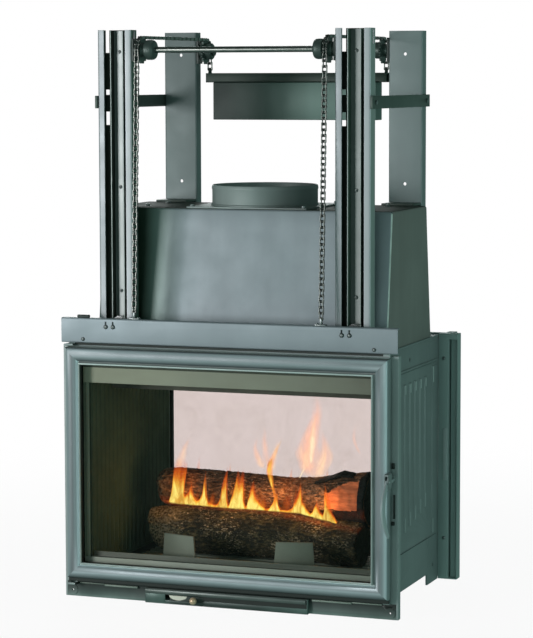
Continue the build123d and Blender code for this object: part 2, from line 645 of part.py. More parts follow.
def handle_lever():
    # bowed grip in the YZ plane, with a tongue between the bracket's ears and a nose under the stud
    n = 22
    h = HANDLE_Z
    outer, inner = [], []
    for k in range(n + 1):
        t = k / n
        z = h - 18.0 - 109.0 * t
        y = -64.0 - 29.0 * math.sin(math.pi * min(1.0, t * 1.02) ** 0.92) + 12.0 * t * t
        w = 14.0 + 6.0 * math.sin(math.pi * t) - 5.0 * t
        outer.append((y, z))
        inner.append((y + w, z - 2.0 * t))
    grip = prism_yz(outer + inner[::-1], 395.8, 403.5)
    g = fillet(grip.edges().filter_by(Axis.X).sort_by(Axis.Z)[0:2], 2.4)
    neck = prism_yz([(-64, h - 20), (-64, h - 2), (-57, h + 7), (-44, h + 9), (-40, h + 1), (-40, h - 6), (-50, h - 20)], 396.0, 401.0)
    head = prism_yz([(-64, h - 20), (-64, h - 7), (-60, h - 4), (-58.6, h - 20)], 395.8, 403.5)
    # arm that reaches back beside the leaf, under the stud on the frame
    nose = prism_yz([(-46, h - 6), (-46, h + 4), (-14, h + 1.6), (-1.5, h + 1.6), (-1.5, h - 4), (-30, h - 7)], 396.0, 401.0)
    p = g + neck + head + nose
    p += cyl_x(2.5, 393.9, 405.0, HANDLE_Y, HANDLE_Z)
    return p


def leaf_frame_pinned():
    # pivot pins stand in the top and bottom edges of the frame
    return leaf_frame() + cyl_z(3.0, LEAF_Z1 - 6, 600.5, HINGE_X, HINGE_Y) + cyl_z(3.0, 31, LEAF_Z0 + 6, HINGE_X, HINGE_Y)


leafs = {"frame": leaf_frame_pinned(), "moulding": moulding(), "glass": leaf_glass(), "seal": leaf_seal(),
         "glass_clips": leaf_clips(), "handle_bracket": handle_bracket(), "handle": handle_lever()}
for key, shp in leafs.items():
    write("front_door_" + key, shp)
    write("rear_door_" + key, turned(shp) if len(shp.solids()) == 1 else group([turned(q) for q in shp.solids()]))

# fixed frame behind the rear leaf: same section as the carriage frame
rf = ring(392, 36, 596, 24, RING_Y0, 0, wt=34, wb=26)
for (z0, z1) in ((595.5, 600.5), (31, 36)):
    rf += bx(-394, -374, -23.5, 0, z0, z1)
rf -= cyl_z(3.05, 595, 601, HINGE_X, HINGE_Y)
rf -= cyl_z(3.05, 30.5, 36.5, HINGE_X, HINGE_Y)
rf += cyl_x(3.0, 390, 403, -5.5, HANDLE_Z + 5)
write("rear_door_jamb", turned(rf))

# =====================================================================
# Air control along the bottom of the front
# =====================================================================
air = bx(-202, 198, -12, 0, 0, 33) - bx(-200, 196, -10, 1, 2, 31)
air -= bx(-152, -58, -13, -9, 9, 21)
air += bx(-202, 198, -14, 0, 33, 35)
# hood over the slot
air += bx(-200, 194, -16, -12, 24, 35)
air += bx(-200, 196, -10, -6, 2, 3.6) + bx(-200, 196, -10, -6, 28.4, 31)
write("air_box", air)
slide = bx(-140, -30, -9.6, -7.6, 4, 28)
for k in (0, 2):
    slide -= bx(-130 + 38 * k, -108 + 38 * k, -11, -6, 8, 24)
slide += cyl_y(2.5, -26, -9.6, KNOB_X, KNOB_Z)
write("air_slide", slide)
knob = Pos(KNOB_X, KNOB_Y, KNOB_Z) * Sphere(7.0) - cyl_y(2.5, KNOB_Y + 4, KNOB_Y + 12, KNOB_X, KNOB_Z)
write("air_knob", knob)

# =====================================================================
# Hearth contents
# =====================================================================
def andiron(xc, ang):
    # trapezoid plate with a foot behind it
    pl = prism_xz([(-50, 62), (50, 62), (42.5, 150), (-42.5, 150)], -2, 2)
    pl += bx(-44, 44, 2, 60, 62, 66)
    return Pos(xc, 62, 0) * Rot(0, 0, ang) * pl


write("andirons", group([andiron(-146, -15), andiron(140, 15)]))

gb = None
for y in (176, 204, 232, 260, 288, 316):
    b = bx(-290, 290, y - 5, y + 5, 66, 76)
    gb = b if gb is None else gb + b
for x in (-280, -94, 94, 280):
    gb += bx(x - 6, x + 6, 171, 321, 62, 66)
write("log_grate", gb)


def log(p0, p1, r0, r1):
    ax = Vector(*p1) - Vector(*p0)
    pl = Plane(origin=Vector(*p0), z_dir=ax.normalized())
    pl2 = Plane(origin=Vector(*p1), z_dir=ax.normalized())
    return loft([(pl * Circle(r0)).face(), (pl2 * Circle(r1)).face()])


write("logs", group([log((-290, 246, 130.5), (262, 205, 123.5), 54, 46), log((-272, 264, 228.5), (250, 258, 230), 44, 62)]))
print("pitch radius", PITCH_R)
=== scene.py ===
import bpy
import bmesh
import json
import math
import random
from mathutils import Matrix, Vector, noise

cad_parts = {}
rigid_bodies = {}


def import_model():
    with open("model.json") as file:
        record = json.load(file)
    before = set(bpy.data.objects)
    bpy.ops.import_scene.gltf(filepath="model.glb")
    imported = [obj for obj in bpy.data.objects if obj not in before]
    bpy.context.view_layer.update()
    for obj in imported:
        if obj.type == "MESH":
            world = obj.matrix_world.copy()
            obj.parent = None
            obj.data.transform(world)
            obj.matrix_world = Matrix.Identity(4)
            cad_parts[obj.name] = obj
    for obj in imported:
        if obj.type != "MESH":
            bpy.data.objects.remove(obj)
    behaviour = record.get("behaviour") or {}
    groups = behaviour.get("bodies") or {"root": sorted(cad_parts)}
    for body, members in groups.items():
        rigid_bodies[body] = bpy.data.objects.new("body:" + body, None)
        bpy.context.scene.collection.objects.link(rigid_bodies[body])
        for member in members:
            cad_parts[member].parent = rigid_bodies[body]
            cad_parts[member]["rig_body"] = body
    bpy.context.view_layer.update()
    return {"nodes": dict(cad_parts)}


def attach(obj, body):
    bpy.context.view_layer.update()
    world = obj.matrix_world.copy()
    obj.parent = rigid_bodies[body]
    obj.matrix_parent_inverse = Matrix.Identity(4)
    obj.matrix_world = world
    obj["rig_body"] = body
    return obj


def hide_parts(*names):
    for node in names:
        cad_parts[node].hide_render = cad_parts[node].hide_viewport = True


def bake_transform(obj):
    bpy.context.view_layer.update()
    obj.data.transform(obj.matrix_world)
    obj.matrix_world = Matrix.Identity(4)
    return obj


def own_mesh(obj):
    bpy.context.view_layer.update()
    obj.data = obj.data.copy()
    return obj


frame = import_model()
NODES = frame["nodes"]
scene = bpy.context.scene
scene.view_settings.view_transform = "Standard"

S = 0.001
MID = 253.75          # working frame: Y = 0 at the front plate, mm


def P(x, y, z):
    return Vector((x * S, (y - MID) * S, z * S))


# ---------------------------------------------------------------------
# Camera
# ---------------------------------------------------------------------
def make_camera():
    az, el, roll = math.radians(20.22), math.radians(5.65), math.radians(-0.14)
    fw = Vector((-math.sin(az) * math.cos(el), math.cos(az) * math.cos(el), -math.sin(el)))
    r = Vector((math.cos(az), math.sin(az), 0.0))
    u = r.cross(fw)
    r2 = r * math.cos(roll) + u * math.sin(roll)
    u2 = -r * math.sin(roll) + u * math.cos(roll)
    data = bpy.data.cameras.new("camera")
    data.sensor_fit = "AUTO"
    data.sensor_width = 36.0
    data.lens = 2457.08 * 36.0 / 638.0
    data.clip_start, data.clip_end = 0.05, 60.0
    cam = bpy.data.objects.new("camera", data)
    scene.collection.objects.link(cam)
    m = Matrix((r2, u2, -fw)).transposed().to_4x4()
    m.translation = Vector((2.00962, -5.44909, 1.21881))
    cam.matrix_world = m
    scene.camera = cam


make_camera()


# ---------------------------------------------------------------------
# Node helpers
# ---------------------------------------------------------------------
class Mat:
    def __init__(self, name):
        self.m = bpy.data.materials.new(name)
        self.m.use_nodes = True
        self.t = self.m.node_tree
        self.t.nodes.clear()
        self.out = self.t.nodes.new("ShaderNodeOutputMaterial")
        self.tc = self.t.nodes.new("ShaderNodeTexCoord")

    def node(self, kind, **kw):
        n = self.t.nodes.new(kind)
        for k, v in kw.items():
            setattr(n, k, v)
        return n

    def link(self, a, b):
        self.t.links.new(a, b)

    def coords(self, scale=(1, 1, 1), rot=(0, 0, 0)):
        mp = self.node("ShaderNodeMapping")
        mp.inputs["Scale"].default_value = scale
        mp.inputs["Rotation"].default_value = rot
        self.link(self.tc.outputs["Object"], mp.inputs["Vector"])
        return mp.outputs["Vector"]

    def noise(self, scale, detail=2.0, rough=0.5, vec=None, distort=0.0):
        n = self.node("ShaderNodeTexNoise")
        n.inputs["Scale"].default_value = scale
        n.inputs["Detail"].default_value = detail
        n.inputs["Roughness"].default_value = rough
        n.inputs["Distortion"].default_value = distort
        self.link(vec if vec is not None else self.tc.outputs["Object"], n.inputs["Vector"])
        return n.outputs["Fac"]

    def ramp(self, fac, stops, interp="LINEAR"):
        r = self.node("ShaderNodeValToRGB")
        r.color_ramp.interpolation = interp
        e = r.color_ramp.elements
        while len(e) > 1:
            e.remove(e[-1])
        e[0].position, e[0].color = stops[0][0], tuple(stops[0][1]) + (1.0,)
        for p, c in stops[1:]:
            x = e.new(p)
            x.color = tuple(c) + (1.0,)
        self.link(fac, r.inputs["Fac"])
        return r.outputs["Color"]

    def span(self, fac, a, b, c, d, clamp=True):
        r = self.node("ShaderNodeMapRange")
        r.clamp = clamp
        for k, v in (("From Min", a), ("From Max", b), ("To Min", c), ("To Max", d)):
            r.inputs[k].default_value = v
        self.link(fac, r.inputs["Value"])
        return r.outputs["Result"]

    def math(self, op, a, b=None):
        n = self.node("ShaderNodeMath", operation=op)
        for i, v in enumerate((a, b)):
            if v is None:
                continue
            if isinstance(v, (int, float)):
                n.inputs[i].default_value = v
            else:
                self.link(v, n.inputs[i])
        return n.outputs[0]

    def mix(self, fac, a, b, blend="MIX"):
        n = self.node("ShaderNodeMix", data_type="RGBA", blend_type=blend)
        for i, v in ((0, fac), (6, a), (7, b)):
            if isinstance(v, (int, float)):
                n.inputs[i].default_value = v
            elif isinstance(v, (tuple, list)):
                n.inputs[i].default_value = tuple(v) + (1.0,)
            else:
                self.link(v, n.inputs[i])
        return n.outputs[2]

    def bump(self, height, strength, distance, normal=None):
        b = self.node("ShaderNodeBump")
        b.inputs["Strength"].default_value = strength
        b.inputs["Distance"].default_value = distance
        self.link(height, b.inputs["Height"])
        if normal is not None:
            self.link(normal, b.inputs["Normal"])
        return b.outputs["Normal"]

    def bevel(self, radius):
        b = self.node("ShaderNodeBevel", samples=4)
        b.inputs["Radius"].default_value = radius
        return b.outputs["Normal"]

    def attr(self, name):
        a = self.node("ShaderNodeAttribute")
        a.attribute_name = name
        return a

    def principled(self, **kw):
        b = self.node("ShaderNodeBsdfPrincipled")
        for k, v in kw.items():
            s = b.inputs[k]
            if isinstance(v, (int, float)):
                s.default_value = v
            elif isinstance(v, (tuple, list)):
                s.default_value = tuple(v) + ((1.0,) if len(v) == 3 and len(s.default_value) == 4 else ())
            else:
                self.link(v, s)
        return b

    def finish(self, shader):
        self.link(shader, self.out.inputs["Surface"])
        return self.m


def painted(name, base, rough=0.4, metallic=0.35, mottle=0.1, grain=0.16, edge=0.0011, wear=0.0, blotch=5.0, rail_shadow=False,
            painted_light_ramp=None, painted_shading=False):
    """Satin heat-proof paint: cloudy tone, fine powder grain, softened edges, slight rubbing along them."""
    k = Mat(name)
    cloud = k.noise(blotch, 3.0, 0.55)
    streak = k.noise(3.0, 2.0, 0.5, k.coords((7.0, 7.0, 1.0)))
    both = k.math("ADD", k.math("MULTIPLY", cloud, 0.65), k.math("MULTIPLY", streak, 0.35))
    lo = tuple(c * (1 - mottle) for c in base)
    hi = tuple(min(1.0, c * (1 + mottle)) for c in base)
    col = k.ramp(both, [(0.34, lo), (0.66, hi)])
    fine = k.noise(1500.0, 2.0, 0.6)
    col = k.mix(k.span(fine, 0.3, 0.7, 0.0, 0.16), col, tuple(c * 0.7 for c in base))
    if rail_shadow:
        # painted shadow of the left rail on the left end of the sheet, dark green, fading out in a pale fringe
        sep = k.node("ShaderNodeSeparateXYZ")
        k.link(k.tc.outputs["Object"], sep.inputs[0])
        along = k.math("ADD", sep.outputs["X"], k.math("MULTIPLY", k.noise(6.0, 2.0, 0.5), 0.012))
        tint = k.ramp(k.span(along, -0.36, 0.0, 0.0, 1.0), [(0.0, (0.072, 0.135, 0.085)), (0.325, (0.072, 0.135, 0.085)), (0.385, (0.52, 0.66, 0.54)), (0.43, (0.78, 0.90, 0.78)),
                                                            (0.50, (0.66, 0.74, 0.68)), (0.60, (0.90, 0.94, 0.93)), (0.72, (1.0, 1.0, 1.0)), (1.0, (0.94, 0.95, 0.95))])
        patchy = k.noise(26.0, 4.0, 0.62)
        col = k.mix(k.span(patchy, 0.36, 0.66, 0.0, 0.16), col, tuple(c * 0.72 for c in base))
        col = k.mix(1.0, col, tint, "MULTIPLY")
    if painted_light_ramp:
        # painted light and shade along one axis: (axis, from, to, strongest, ((place, share), ...))
        axis, g0, g1, peak, stops = painted_light_ramp
        sep = k.node("ShaderNodeSeparateXYZ")
        k.link(k.tc.outputs["Object"], sep.inputs[0])
        sc = k.node("ShaderNodeVectorMath", operation="SCALE")
        k.link(k.ramp(k.span(sep.outputs[axis], g0, g1, 0.0, 1.0), [(q, (v, v, v)) for q, v in stops]), sc.inputs[0])
        sc.inputs["Scale"].default_value = peak
        col = k.mix(1.0, col, sc.outputs[0], "MULTIPLY")
    # multiplies the colour by a per-vertex attribute: painted light and shade across the moulding runs
    if painted_shading:
        sc = k.node("ShaderNodeVectorMath", operation="SCALE")
        k.link(col, sc.inputs[0])
        k.link(k.attr("painted_shading").outputs["Fac"], sc.inputs["Scale"])
        col = sc.outputs[0]
    soft = k.bevel(edge)
    if wear > 0:
        geo = k.node("ShaderNodeNewGeometry")
        d = k.node("ShaderNodeVectorMath", operation="DOT_PRODUCT")
        k.link(soft, d.inputs[0])
        k.link(geo.outputs["Normal"], d.inputs[1])
        rub = k.span(d.outputs["Value"], 0.80, 0.985, wear, 0.0)
        rub = k.math("MULTIPLY", rub, k.span(k.noise(60.0, 3.0, 0.6), 0.35, 0.65, 0.2, 1.0))
        col = k.mix(rub, col, tuple(min(1.0, c * 1.5 + 0.08) for c in base))
    r = k.span(k.noise(9.0, 4.0, 0.6), 0.3, 0.7, rough - 0.05, rough + 0.06)
    n = k.bump(fine, grain, 0.00012, soft)
    n = k.bump(k.noise(14.0, 2.0, 0.5), 0.10, 0.0003, n)
    return k.finish(k.principled(**{"Base Color": col, "Roughness": r, "Metallic": metallic, "Normal": n}).outputs[0])


def cast(name, base, soot, rough=0.62, metallic=0.2, scale=1.0):
    """Cast iron with a sandy skin and soot in clouds."""
    k = Mat(name)
    sand = k.noise(700.0 * scale, 3.0, 0.7)
    cloud = k.noise(8.0 * scale, 4.0, 0.6)
    col = k.ramp(cloud, [(0.35, soot), (0.68, base)])
    col = k.mix(k.span(sand, 0.35, 0.7, 0.0, 0.35), col, tuple(c * 1.5 for c in base))
    n = k.bump(sand, 0.35, 0.0004, k.bevel(0.0012))
    r = k.span(cloud, 0.3, 0.7, rough + 0.1, rough - 0.08)
    return k.finish(k.principled(**{"Base Color": col, "Roughness": r, "Metallic": metallic, "Normal": n}).outputs[0])


def steel(name, base, rough=0.3, along=(1, 1, 1), metallic=1.0, dirt=0.35, brushed=True):
    """Bare steel with a drawn grain along one direction and a trace of oil."""
    k = Mat(name)
    g = k.noise(900.0, 2.0, 0.5, k.coords(along))
    oil = k.noise(40.0, 4.0, 0.6)
    col = k.mix(k.span(oil, 0.35, 0.72, dirt, 0.0), base, tuple(c * 0.35 for c in base))
    col = k.mix(k.span(g, 0.3, 0.7, 0.0, 0.25), col, tuple(c * 0.75 for c in base))
    r = k.span(g, 0.3, 0.7, rough - 0.06, rough + 0.08)
    n = k.bump(g, 0.12 if brushed else 0.03, 0.0001, k.bevel(0.0004))
    return k.finish(k.principled(**{"Base Color": col, "Roughness": r, "Metallic": metallic, "Normal": n}).outputs[0])


def board(name, base, dark, rough=0.6, side=False):
    """Heat-proof enamelled strip: matt, faintly rolled, a little discoloured by heat."""
    k = Mat(name)
    c1 = k.noise(4.0, 4.0, 0.6, k.coords((1.0, 1.0, 2.5)))
    roll = k.noise(260.0, 2.0, 0.5, k.coords((0.12, 1.0, 1.0)))
    col = k.ramp(c1, [(0.3, dark), (0.7, base)])
    col = k.mix(k.span(roll, 0.3, 0.7, 0.0, 0.18), col, tuple(c * 0.8 for c in base))
    if side:
        # darker towards the right end and a little lighter at the left: painted light falloff
        sep = k.node("ShaderNodeSeparateXYZ")
        k.link(k.tc.outputs["Object"], sep.inputs[0])
        col = k.mix(1.0, col, k.ramp(k.span(sep.outputs["X"], -0.36, 0.36, 0.0, 1.0), [(0.0, (1.15, 1.15, 1.12)), (0.45, (1.0, 1.0, 1.0)), (1.0, (0.62, 0.62, 0.62))]), "MULTIPLY")
    n = k.bump(roll, 0.1, 0.0002, k.bevel(0.0008))
    return k.finish(k.principled(**{"Base Color": col, "Roughness": rough, "Metallic": 0.1, "Normal": n}).outputs[0])


def pane(name, tint, stain, amount, rough=0.03):
    """Heat-proof glass: see-through, mirror gloss, faint smoke stains."""
    k = Mat(name)
    cl = k.noise(7.0, 6.0, 0.65, distort=0.6)
    wisps = k.noise(22.0, 6.0, 0.7, k.coords((1.0, 1.0, 0.7)), distort=1.5)
    f = k.math("MULTIPLY", k.span(cl, 0.35, 0.75, 0.0, 1.0), k.span(wisps, 0.35, 0.8, 0.3, 1.0))
    col = k.mix(k.math("MULTIPLY", f, amount), tint, stain)
    tr = k.node("ShaderNodeBsdfTransparent")
    k.link(col, tr.inputs["Color"])
    gl = k.node("ShaderNodeBsdfGlossy")
    gl.inputs["Roughness"].default_value = rough
    gl.inputs["Color"].default_value = (0.9, 0.92, 0.92, 1)
    fr = k.node("ShaderNodeFresnel")
    fr.inputs["IOR"].default_value = 1.45
    k.link(k.bump(k.noise(3.0, 1.0, 0.4), 0.03, 0.001), fr.inputs["Normal"])
    mx = k.node("ShaderNodeMixShader")
    k.link(k.math("MULTIPLY", fr.outputs[0], 0.26), mx.inputs[0])
    k.link(tr.outputs[0], mx.inputs[1])
    k.link(gl.outputs[0], mx.inputs[2])
    return k.finish(mx.outputs[0])


def rope(name, base):
    k = Mat(name)
    w = k.node("ShaderNodeTexWave", wave_type="BANDS", bands_direction="DIAGONAL")
    w.inputs["Scale"].default_value = 260.0
    w.inputs["Distortion"].default_value = 2.0
    k.link(k.tc.outputs["Object"], w.inputs["Vector"])
    col = k.mix(w.outputs["Fac"], base, tuple(c * 0.45 for c in base))
    n = k.bump(w.outputs["Fac"], 0.6, 0.0006)
    return k.finish(k.principled(**{"Base Color": col, "Roughness": 0.9, "Normal": n}).outputs[0])


def brass(name):
    k = Mat(name)
    f = k.noise(55.0, 4.0, 0.6)
    col = k.ramp(f, [(0.3, (0.42, 0.27, 0.09)), (0.6, (0.72, 0.50, 0.20))])
    r = k.span(f, 0.3, 0.7, 0.32, 0.16)
    return k.finish(k.principled(**{"Base Color": col, "Roughness": r, "Metallic": 1.0, "Normal": k.bump(f, 0.05, 0.0003)}).outputs[0])


M = {
    "plate": painted("satin_paint_front", (0.285, 0.335, 0.36), 0.50, 0.30, 0.07, wear=0.35),
    # cross beam: lighter at the left, darker towards the middle and right: painted light falloff
    "beam": painted("satin_paint_crossbeam_painted_falloff", (0.290, 0.335, 0.366), 0.50, 0.30, 0.07, wear=0.35,
                    painted_light_ramp=("X", -0.36, 0.0, 1.26, ((0.0, 1.0), (0.25, 0.98), (1.0, 0.79)))),
    "plate_low": painted("satin_paint_front_low", (0.105, 0.135, 0.130), 0.52, 0.25, 0.10, wear=0.45),
    # lighter copy of the front paint for faces in the moulding's shadow and on the frame edges: painted light
    "plate_painted_lit": painted("satin_paint_front_painted_lit", (0.30, 0.36, 0.355), 0.50, 0.25, 0.08, wear=0.2),
    # foot of the front plate: light near the floor, dark up under the ledge: painted light and shade
    "plate_shaded_foot": painted("satin_paint_front_shaded_foot", (0.115, 0.148, 0.138), 0.42, 0.30, 0.25, wear=0.3, blotch=9.0,
                          painted_light_ramp=("Z", 0.0, 0.036, 2.2, ((0.0, 1.0), (0.22, 0.55), (0.5, 0.30), (0.8, 0.13), (1.0, 0.10)))),
    # lighter paints for the rebate and strips inside the door opening, which lie in the moulding's shadow: painted
    # light
    "rebate": painted("rebate_painted_lit", (0.30, 0.34, 0.27), 0.5, 0.1, 0.08),
    "rebate_mid": painted("rebate_painted_lit_low", (0.17, 0.20, 0.15), 0.5, 0.1, 0.08),
    "bar": painted("satin_paint_slot_bar", (0.13, 0.155, 0.145), 0.36, 0.35, 0.20, wear=0.3),
    # front of the air box under the bar: dark, lighter again at both ends: painted shade
    "box_shaded_face": painted("satin_paint_box_shaded_face", (0.036, 0.056, 0.050), 0.40, 0.30, 0.25,
                        painted_light_ramp=("X", -0.20, 0.20, 4.2, ((0.0, 0.66), (0.10, 0.66), (0.16, 0.24), (0.70, 0.26), (1.0, 0.75)))),
    "box_dark": painted("matt_slot_shadow", (0.010, 0.016, 0.013), 0.5, 0.1, 0.2),
    "ledge": painted("satin_paint_ledge", (0.15, 0.185, 0.155), 0.45, 0.2, 0.2),
    "ledge_light": painted("satin_paint_ledge_light", (0.24, 0.29, 0.25), 0.45, 0.2, 0.15),
    "frame_side": painted("satin_paint_leaf_side", (0.30, 0.36, 0.35), 0.45, 0.3, 0.08),
    "frame_dark": painted("satin_paint_leaf_dark", (0.014, 0.021, 0.018), 0.5, 0.2, 0.1),
    "frame_top_highlight": painted("satin_paint_leaf_top_highlight", (0.60, 0.66, 0.62), 0.45, 0.3, 0.06),
    "lever": painted("satin_paint_lever", (0.52, 0.585, 0.60), 0.32, 0.40, 0.06, grain=0.06, edge=0.0004),
    "plate_edge": painted("satin_paint_front_edge", (0.34, 0.40, 0.395), 0.50, 0.25, 0.08, wear=0.3),
    "mould": painted("satin_paint_moulding", (0.31, 0.365, 0.385), 0.40, 0.35, 0.06, grain=0.10, edge=0.0005),
    # moulding, bead and groove paints scaled per vertex by painted light and shade; the groove paint is light to offset
    # the roll's shadow
    "mould_t": painted("satin_paint_moulding_run", (0.31, 0.365, 0.385), 0.40, 0.35, 0.06, grain=0.10, edge=0.0005, painted_shading=True),
    "bead_t": painted("satin_paint_bead_run", (0.36, 0.43, 0.41), 0.45, 0.3, 0.06, grain=0.10, edge=0.0003, painted_shading=True),
    "groove_t": painted("satin_paint_groove_run", (0.45, 0.50, 0.49), 0.5, 0.2, 0.06, grain=0.10, edge=0.0003, painted_shading=True),
    "bead": painted("satin_paint_bead", (0.36, 0.43, 0.41), 0.45, 0.3, 0.06, grain=0.10, edge=0.0003),
    "black": painted("matt_black", (0.006, 0.008, 0.006), 0.7, 0.0, 0.2, grain=0.05),
    "side": painted("satin_paint_side", (0.252, 0.292, 0.294), 0.52, 0.25, 0.10, wear=0.3),
    "pale_mark": painted("satin_paint_pale_mark", (0.60, 0.68, 0.66), 0.45, 0.25, 0.10, edge=0.0004),
    "pale_mark_soft": painted("satin_paint_pale_mark_soft", (0.44, 0.50, 0.50), 0.48, 0.25, 0.10, edge=0.0004),
    "rear": painted("satin_paint_rear", (0.34, 0.43, 0.42), 0.52, 0.25, 0.08, wear=0.4),
    "hood_shaded_side": painted("satin_paint_hood_shaded_side", (0.245, 0.24, 0.225), 0.52, 0.20, 0.14, wear=0.4, blotch=3.5),
    # hood front: painted shadow of the left rail on its left end
    "hood": painted("satin_paint_hood", (0.335, 0.382, 0.415), 0.50, 0.28, 0.12, wear=0.5, blotch=3.5, rail_shadow=True),
    "hood_shaded_top": painted("matt_paint_hood_shaded_top", (0.020, 0.032, 0.019), 0.75, 0.0, 0.15),
    "hood_fold_highlight": painted("fold_painted_highlight", (0.62, 0.68, 0.64), 0.5, 0.2, 0.25, blotch=30.0),
    # left post: darker than the right one, lighter low down and darker towards the top: painted shade and light
    "post": painted("satin_paint_post", (0.165, 0.20, 0.20), 0.54, 0.25, 0.08,
                    painted_light_ramp=("Z", 0.90, 1.16, 1.6, ((0.0, 1.0), (0.33, 0.92), (0.9, 0.67), (1.0, 0.64)))),
    "post_lit": painted("satin_paint_post_lit", (0.262, 0.315, 0.318), 0.54, 0.25, 0.08),
    "rail_lit": painted("satin_paint_rail_lit", (0.455, 0.485, 0.505), 0.45, 0.35, 0.05, wear=0.3),
    "painted_shade_deep_soft": painted("matt_rail_painted_shade_deep_soft", (0.050, 0.060, 0.050), 0.6, 0.1, 0.3),
    "web_shaded_right": painted("satin_paint_web_shaded_right", (0.235, 0.262, 0.255), 0.45, 0.3, 0.05),
    "web_shadow_band": painted("satin_paint_web_shadow_band", (0.075, 0.098, 0.092), 0.5, 0.2, 0.1),
    "rail": painted("satin_paint_rail", (0.335, 0.365, 0.385), 0.45, 0.35, 0.05, wear=0.3),
    "rail_side": painted("satin_paint_rail_side", (0.36, 0.42, 0.40), 0.45, 0.35, 0.05),
    "rail_shaded": painted("satin_paint_rail_shaded", (0.085, 0.15, 0.115), 0.5, 0.2, 0.10),
    "painted_shade_deep": painted("matt_rail_painted_shade_deep", (0.016, 0.024, 0.018), 0.6, 0.1, 0.2),
    # lighter paint for the lit part of the track web, also the glint on the beam screws' crosses: painted light
    "web": painted("satin_paint_web", (0.42, 0.455, 0.45), 0.45, 0.3, 0.05),
    "track": painted("satin_paint_track", (0.09, 0.125, 0.11), 0.42, 0.35, 0.08, wear=0.6),
    # counterweight case: dark at the left, lighter towards the right: painted light
    "weight": painted("satin_paint_weight", (0.055, 0.085, 0.075), 0.46, 0.30, 0.15, blotch=2.5,
                      painted_light_ramp=("X", -0.2, 0.08, 2.8, ((0.0, 0.17), (0.08, 0.18), (0.41, 0.40), (0.62, 0.62), (0.87, 1.0), (1.0, 1.0)))),
    "weight_beam": painted("satin_paint_weight_beam", (0.016, 0.036, 0.026), 0.46, 0.25, 0.12),
    "dark": painted("matt_paint_dark", (0.045, 0.06, 0.055), 0.5, 0.2, 0.15),
    # flue collar: darker towards its right side: painted shade
    "collar": painted("matt_paint_collar_painted_shade", (0.33, 0.39, 0.38), 0.55, 0.2, 0.12,
                      painted_light_ramp=("X", -0.13, 0.15, 1.0, ((0.0, 0.88), (0.30, 0.92), (0.50, 0.80), (0.72, 0.55), (0.90, 0.42), (1.0, 0.40)))),
    "arm": painted("matt_paint_arm", (0.085, 0.115, 0.10), 0.45, 0.3, 0.12),
    "lining": cast("sooty_lining", (0.064, 0.108, 0.066), (0.030, 0.058, 0.036), 0.65, 0.1),
    "lining_shaded_side": cast("sooty_lining_rib_shaded_side", (0.036, 0.060, 0.038), (0.019, 0.037, 0.024), 0.65, 0.05),
    # near-black hearth floor: soot and painted shade under the logs
    "floor": cast("sooty_floor_painted_shade", (0.010, 0.013, 0.009), (0.003, 0.004, 0.003), 0.8, 0.0),
    "iron": cast("grey_fire_iron", (0.20, 0.225, 0.185), (0.14, 0.158, 0.128), 0.55, 0.30, 0.6),
    "strip_dark": board("air_wash_shadow", (0.085, 0.095, 0.070), (0.065, 0.075, 0.055)),
    "strip": board("air_wash_enamel", (0.42, 0.43, 0.35), (0.33, 0.34, 0.275), side=True),
    "sill": board("sill_enamel", (0.105, 0.118, 0.094), (0.07, 0.08, 0.062), 0.5),
    "sill_light": board("sill_strip_enamel", (0.40, 0.435, 0.385), (0.30, 0.33, 0.285), 0.5),
    "sill_lip_highlight": board("sill_lip_highlight_enamel", (0.27, 0.31, 0.265), (0.20, 0.23, 0.19), 0.5),
    "baffle": board("fire_board", (0.20, 0.19, 0.16), (0.06, 0.06, 0.05), 0.85),
    "shaft": steel("turned_shaft", (0.31, 0.325, 0.305), 0.30, (0.02, 1.0, 1.0)),
    "chain": steel("chain_steel", (0.33, 0.34, 0.32), 0.34, brushed=False, dirt=0.7),
    "chain_dark": painted("chain_rollers", (0.018, 0.022, 0.02), 0.4, 0.3, 0.3),
    "sprocket": painted("sprocket_paint", (0.075, 0.105, 0.095), 0.42, 0.35, 0.15),
    "screw": steel("zinc_screw", (0.30, 0.33, 0.33), 0.36, brushed=False),
    "screw_dark": painted("phosphated_screw", (0.09, 0.105, 0.105), 0.4, 0.4, 0.2, edge=0.0004),
    "roller": steel("bearing_steel", (0.55, 0.56, 0.56), 0.22),
    "glass": pane("door_glass", (0.95, 0.955, 0.945), (0.86, 0.85, 0.80), 0.35),
    "glass_rear": pane("rear_glass", (0.90, 0.825, 0.82), (0.74, 0.67, 0.64), 0.55),
    "rope": rope("glass_rope", (0.13, 0.13, 0.12)),
    "brass": brass("brass_knob_metal"),
    "knob": painted("lacquered_knob", (0.92, 0.64, 0.42), 0.28, 0.35, 0.18, grain=0.03, edge=0.0003),
    "crescent": painted("lacquered_crescent", (0.98, 0.92, 0.80), 0.25, 0.15, 0.04, grain=0.02, edge=0.0003),
}


# ---------------------------------------------------------------------
# Mesh helpers (working frame, mm)
# ---------------------------------------------------------------------
def link(name, me, mats, body, replaces=(), angle=32.0, smooth=True):
    for m in (mats if isinstance(mats, (list, tuple)) else [mats]):
        me.materials.append(m)
    if smooth:
        me.shade_smooth()
        me.set_sharp_from_angle(angle=math.radians(angle))
    o = bpy.data.objects.new(name, me)
    scene.collection.objects.link(o)
    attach(o, body)
    if replaces:
        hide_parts(*replaces)
    return o


def to_mesh(bm, name):
    me = bpy.data.meshes.new(name)
    bm.normal_update()
    bm.to_mesh(me)
    bm.free()
    me.update()
    return me


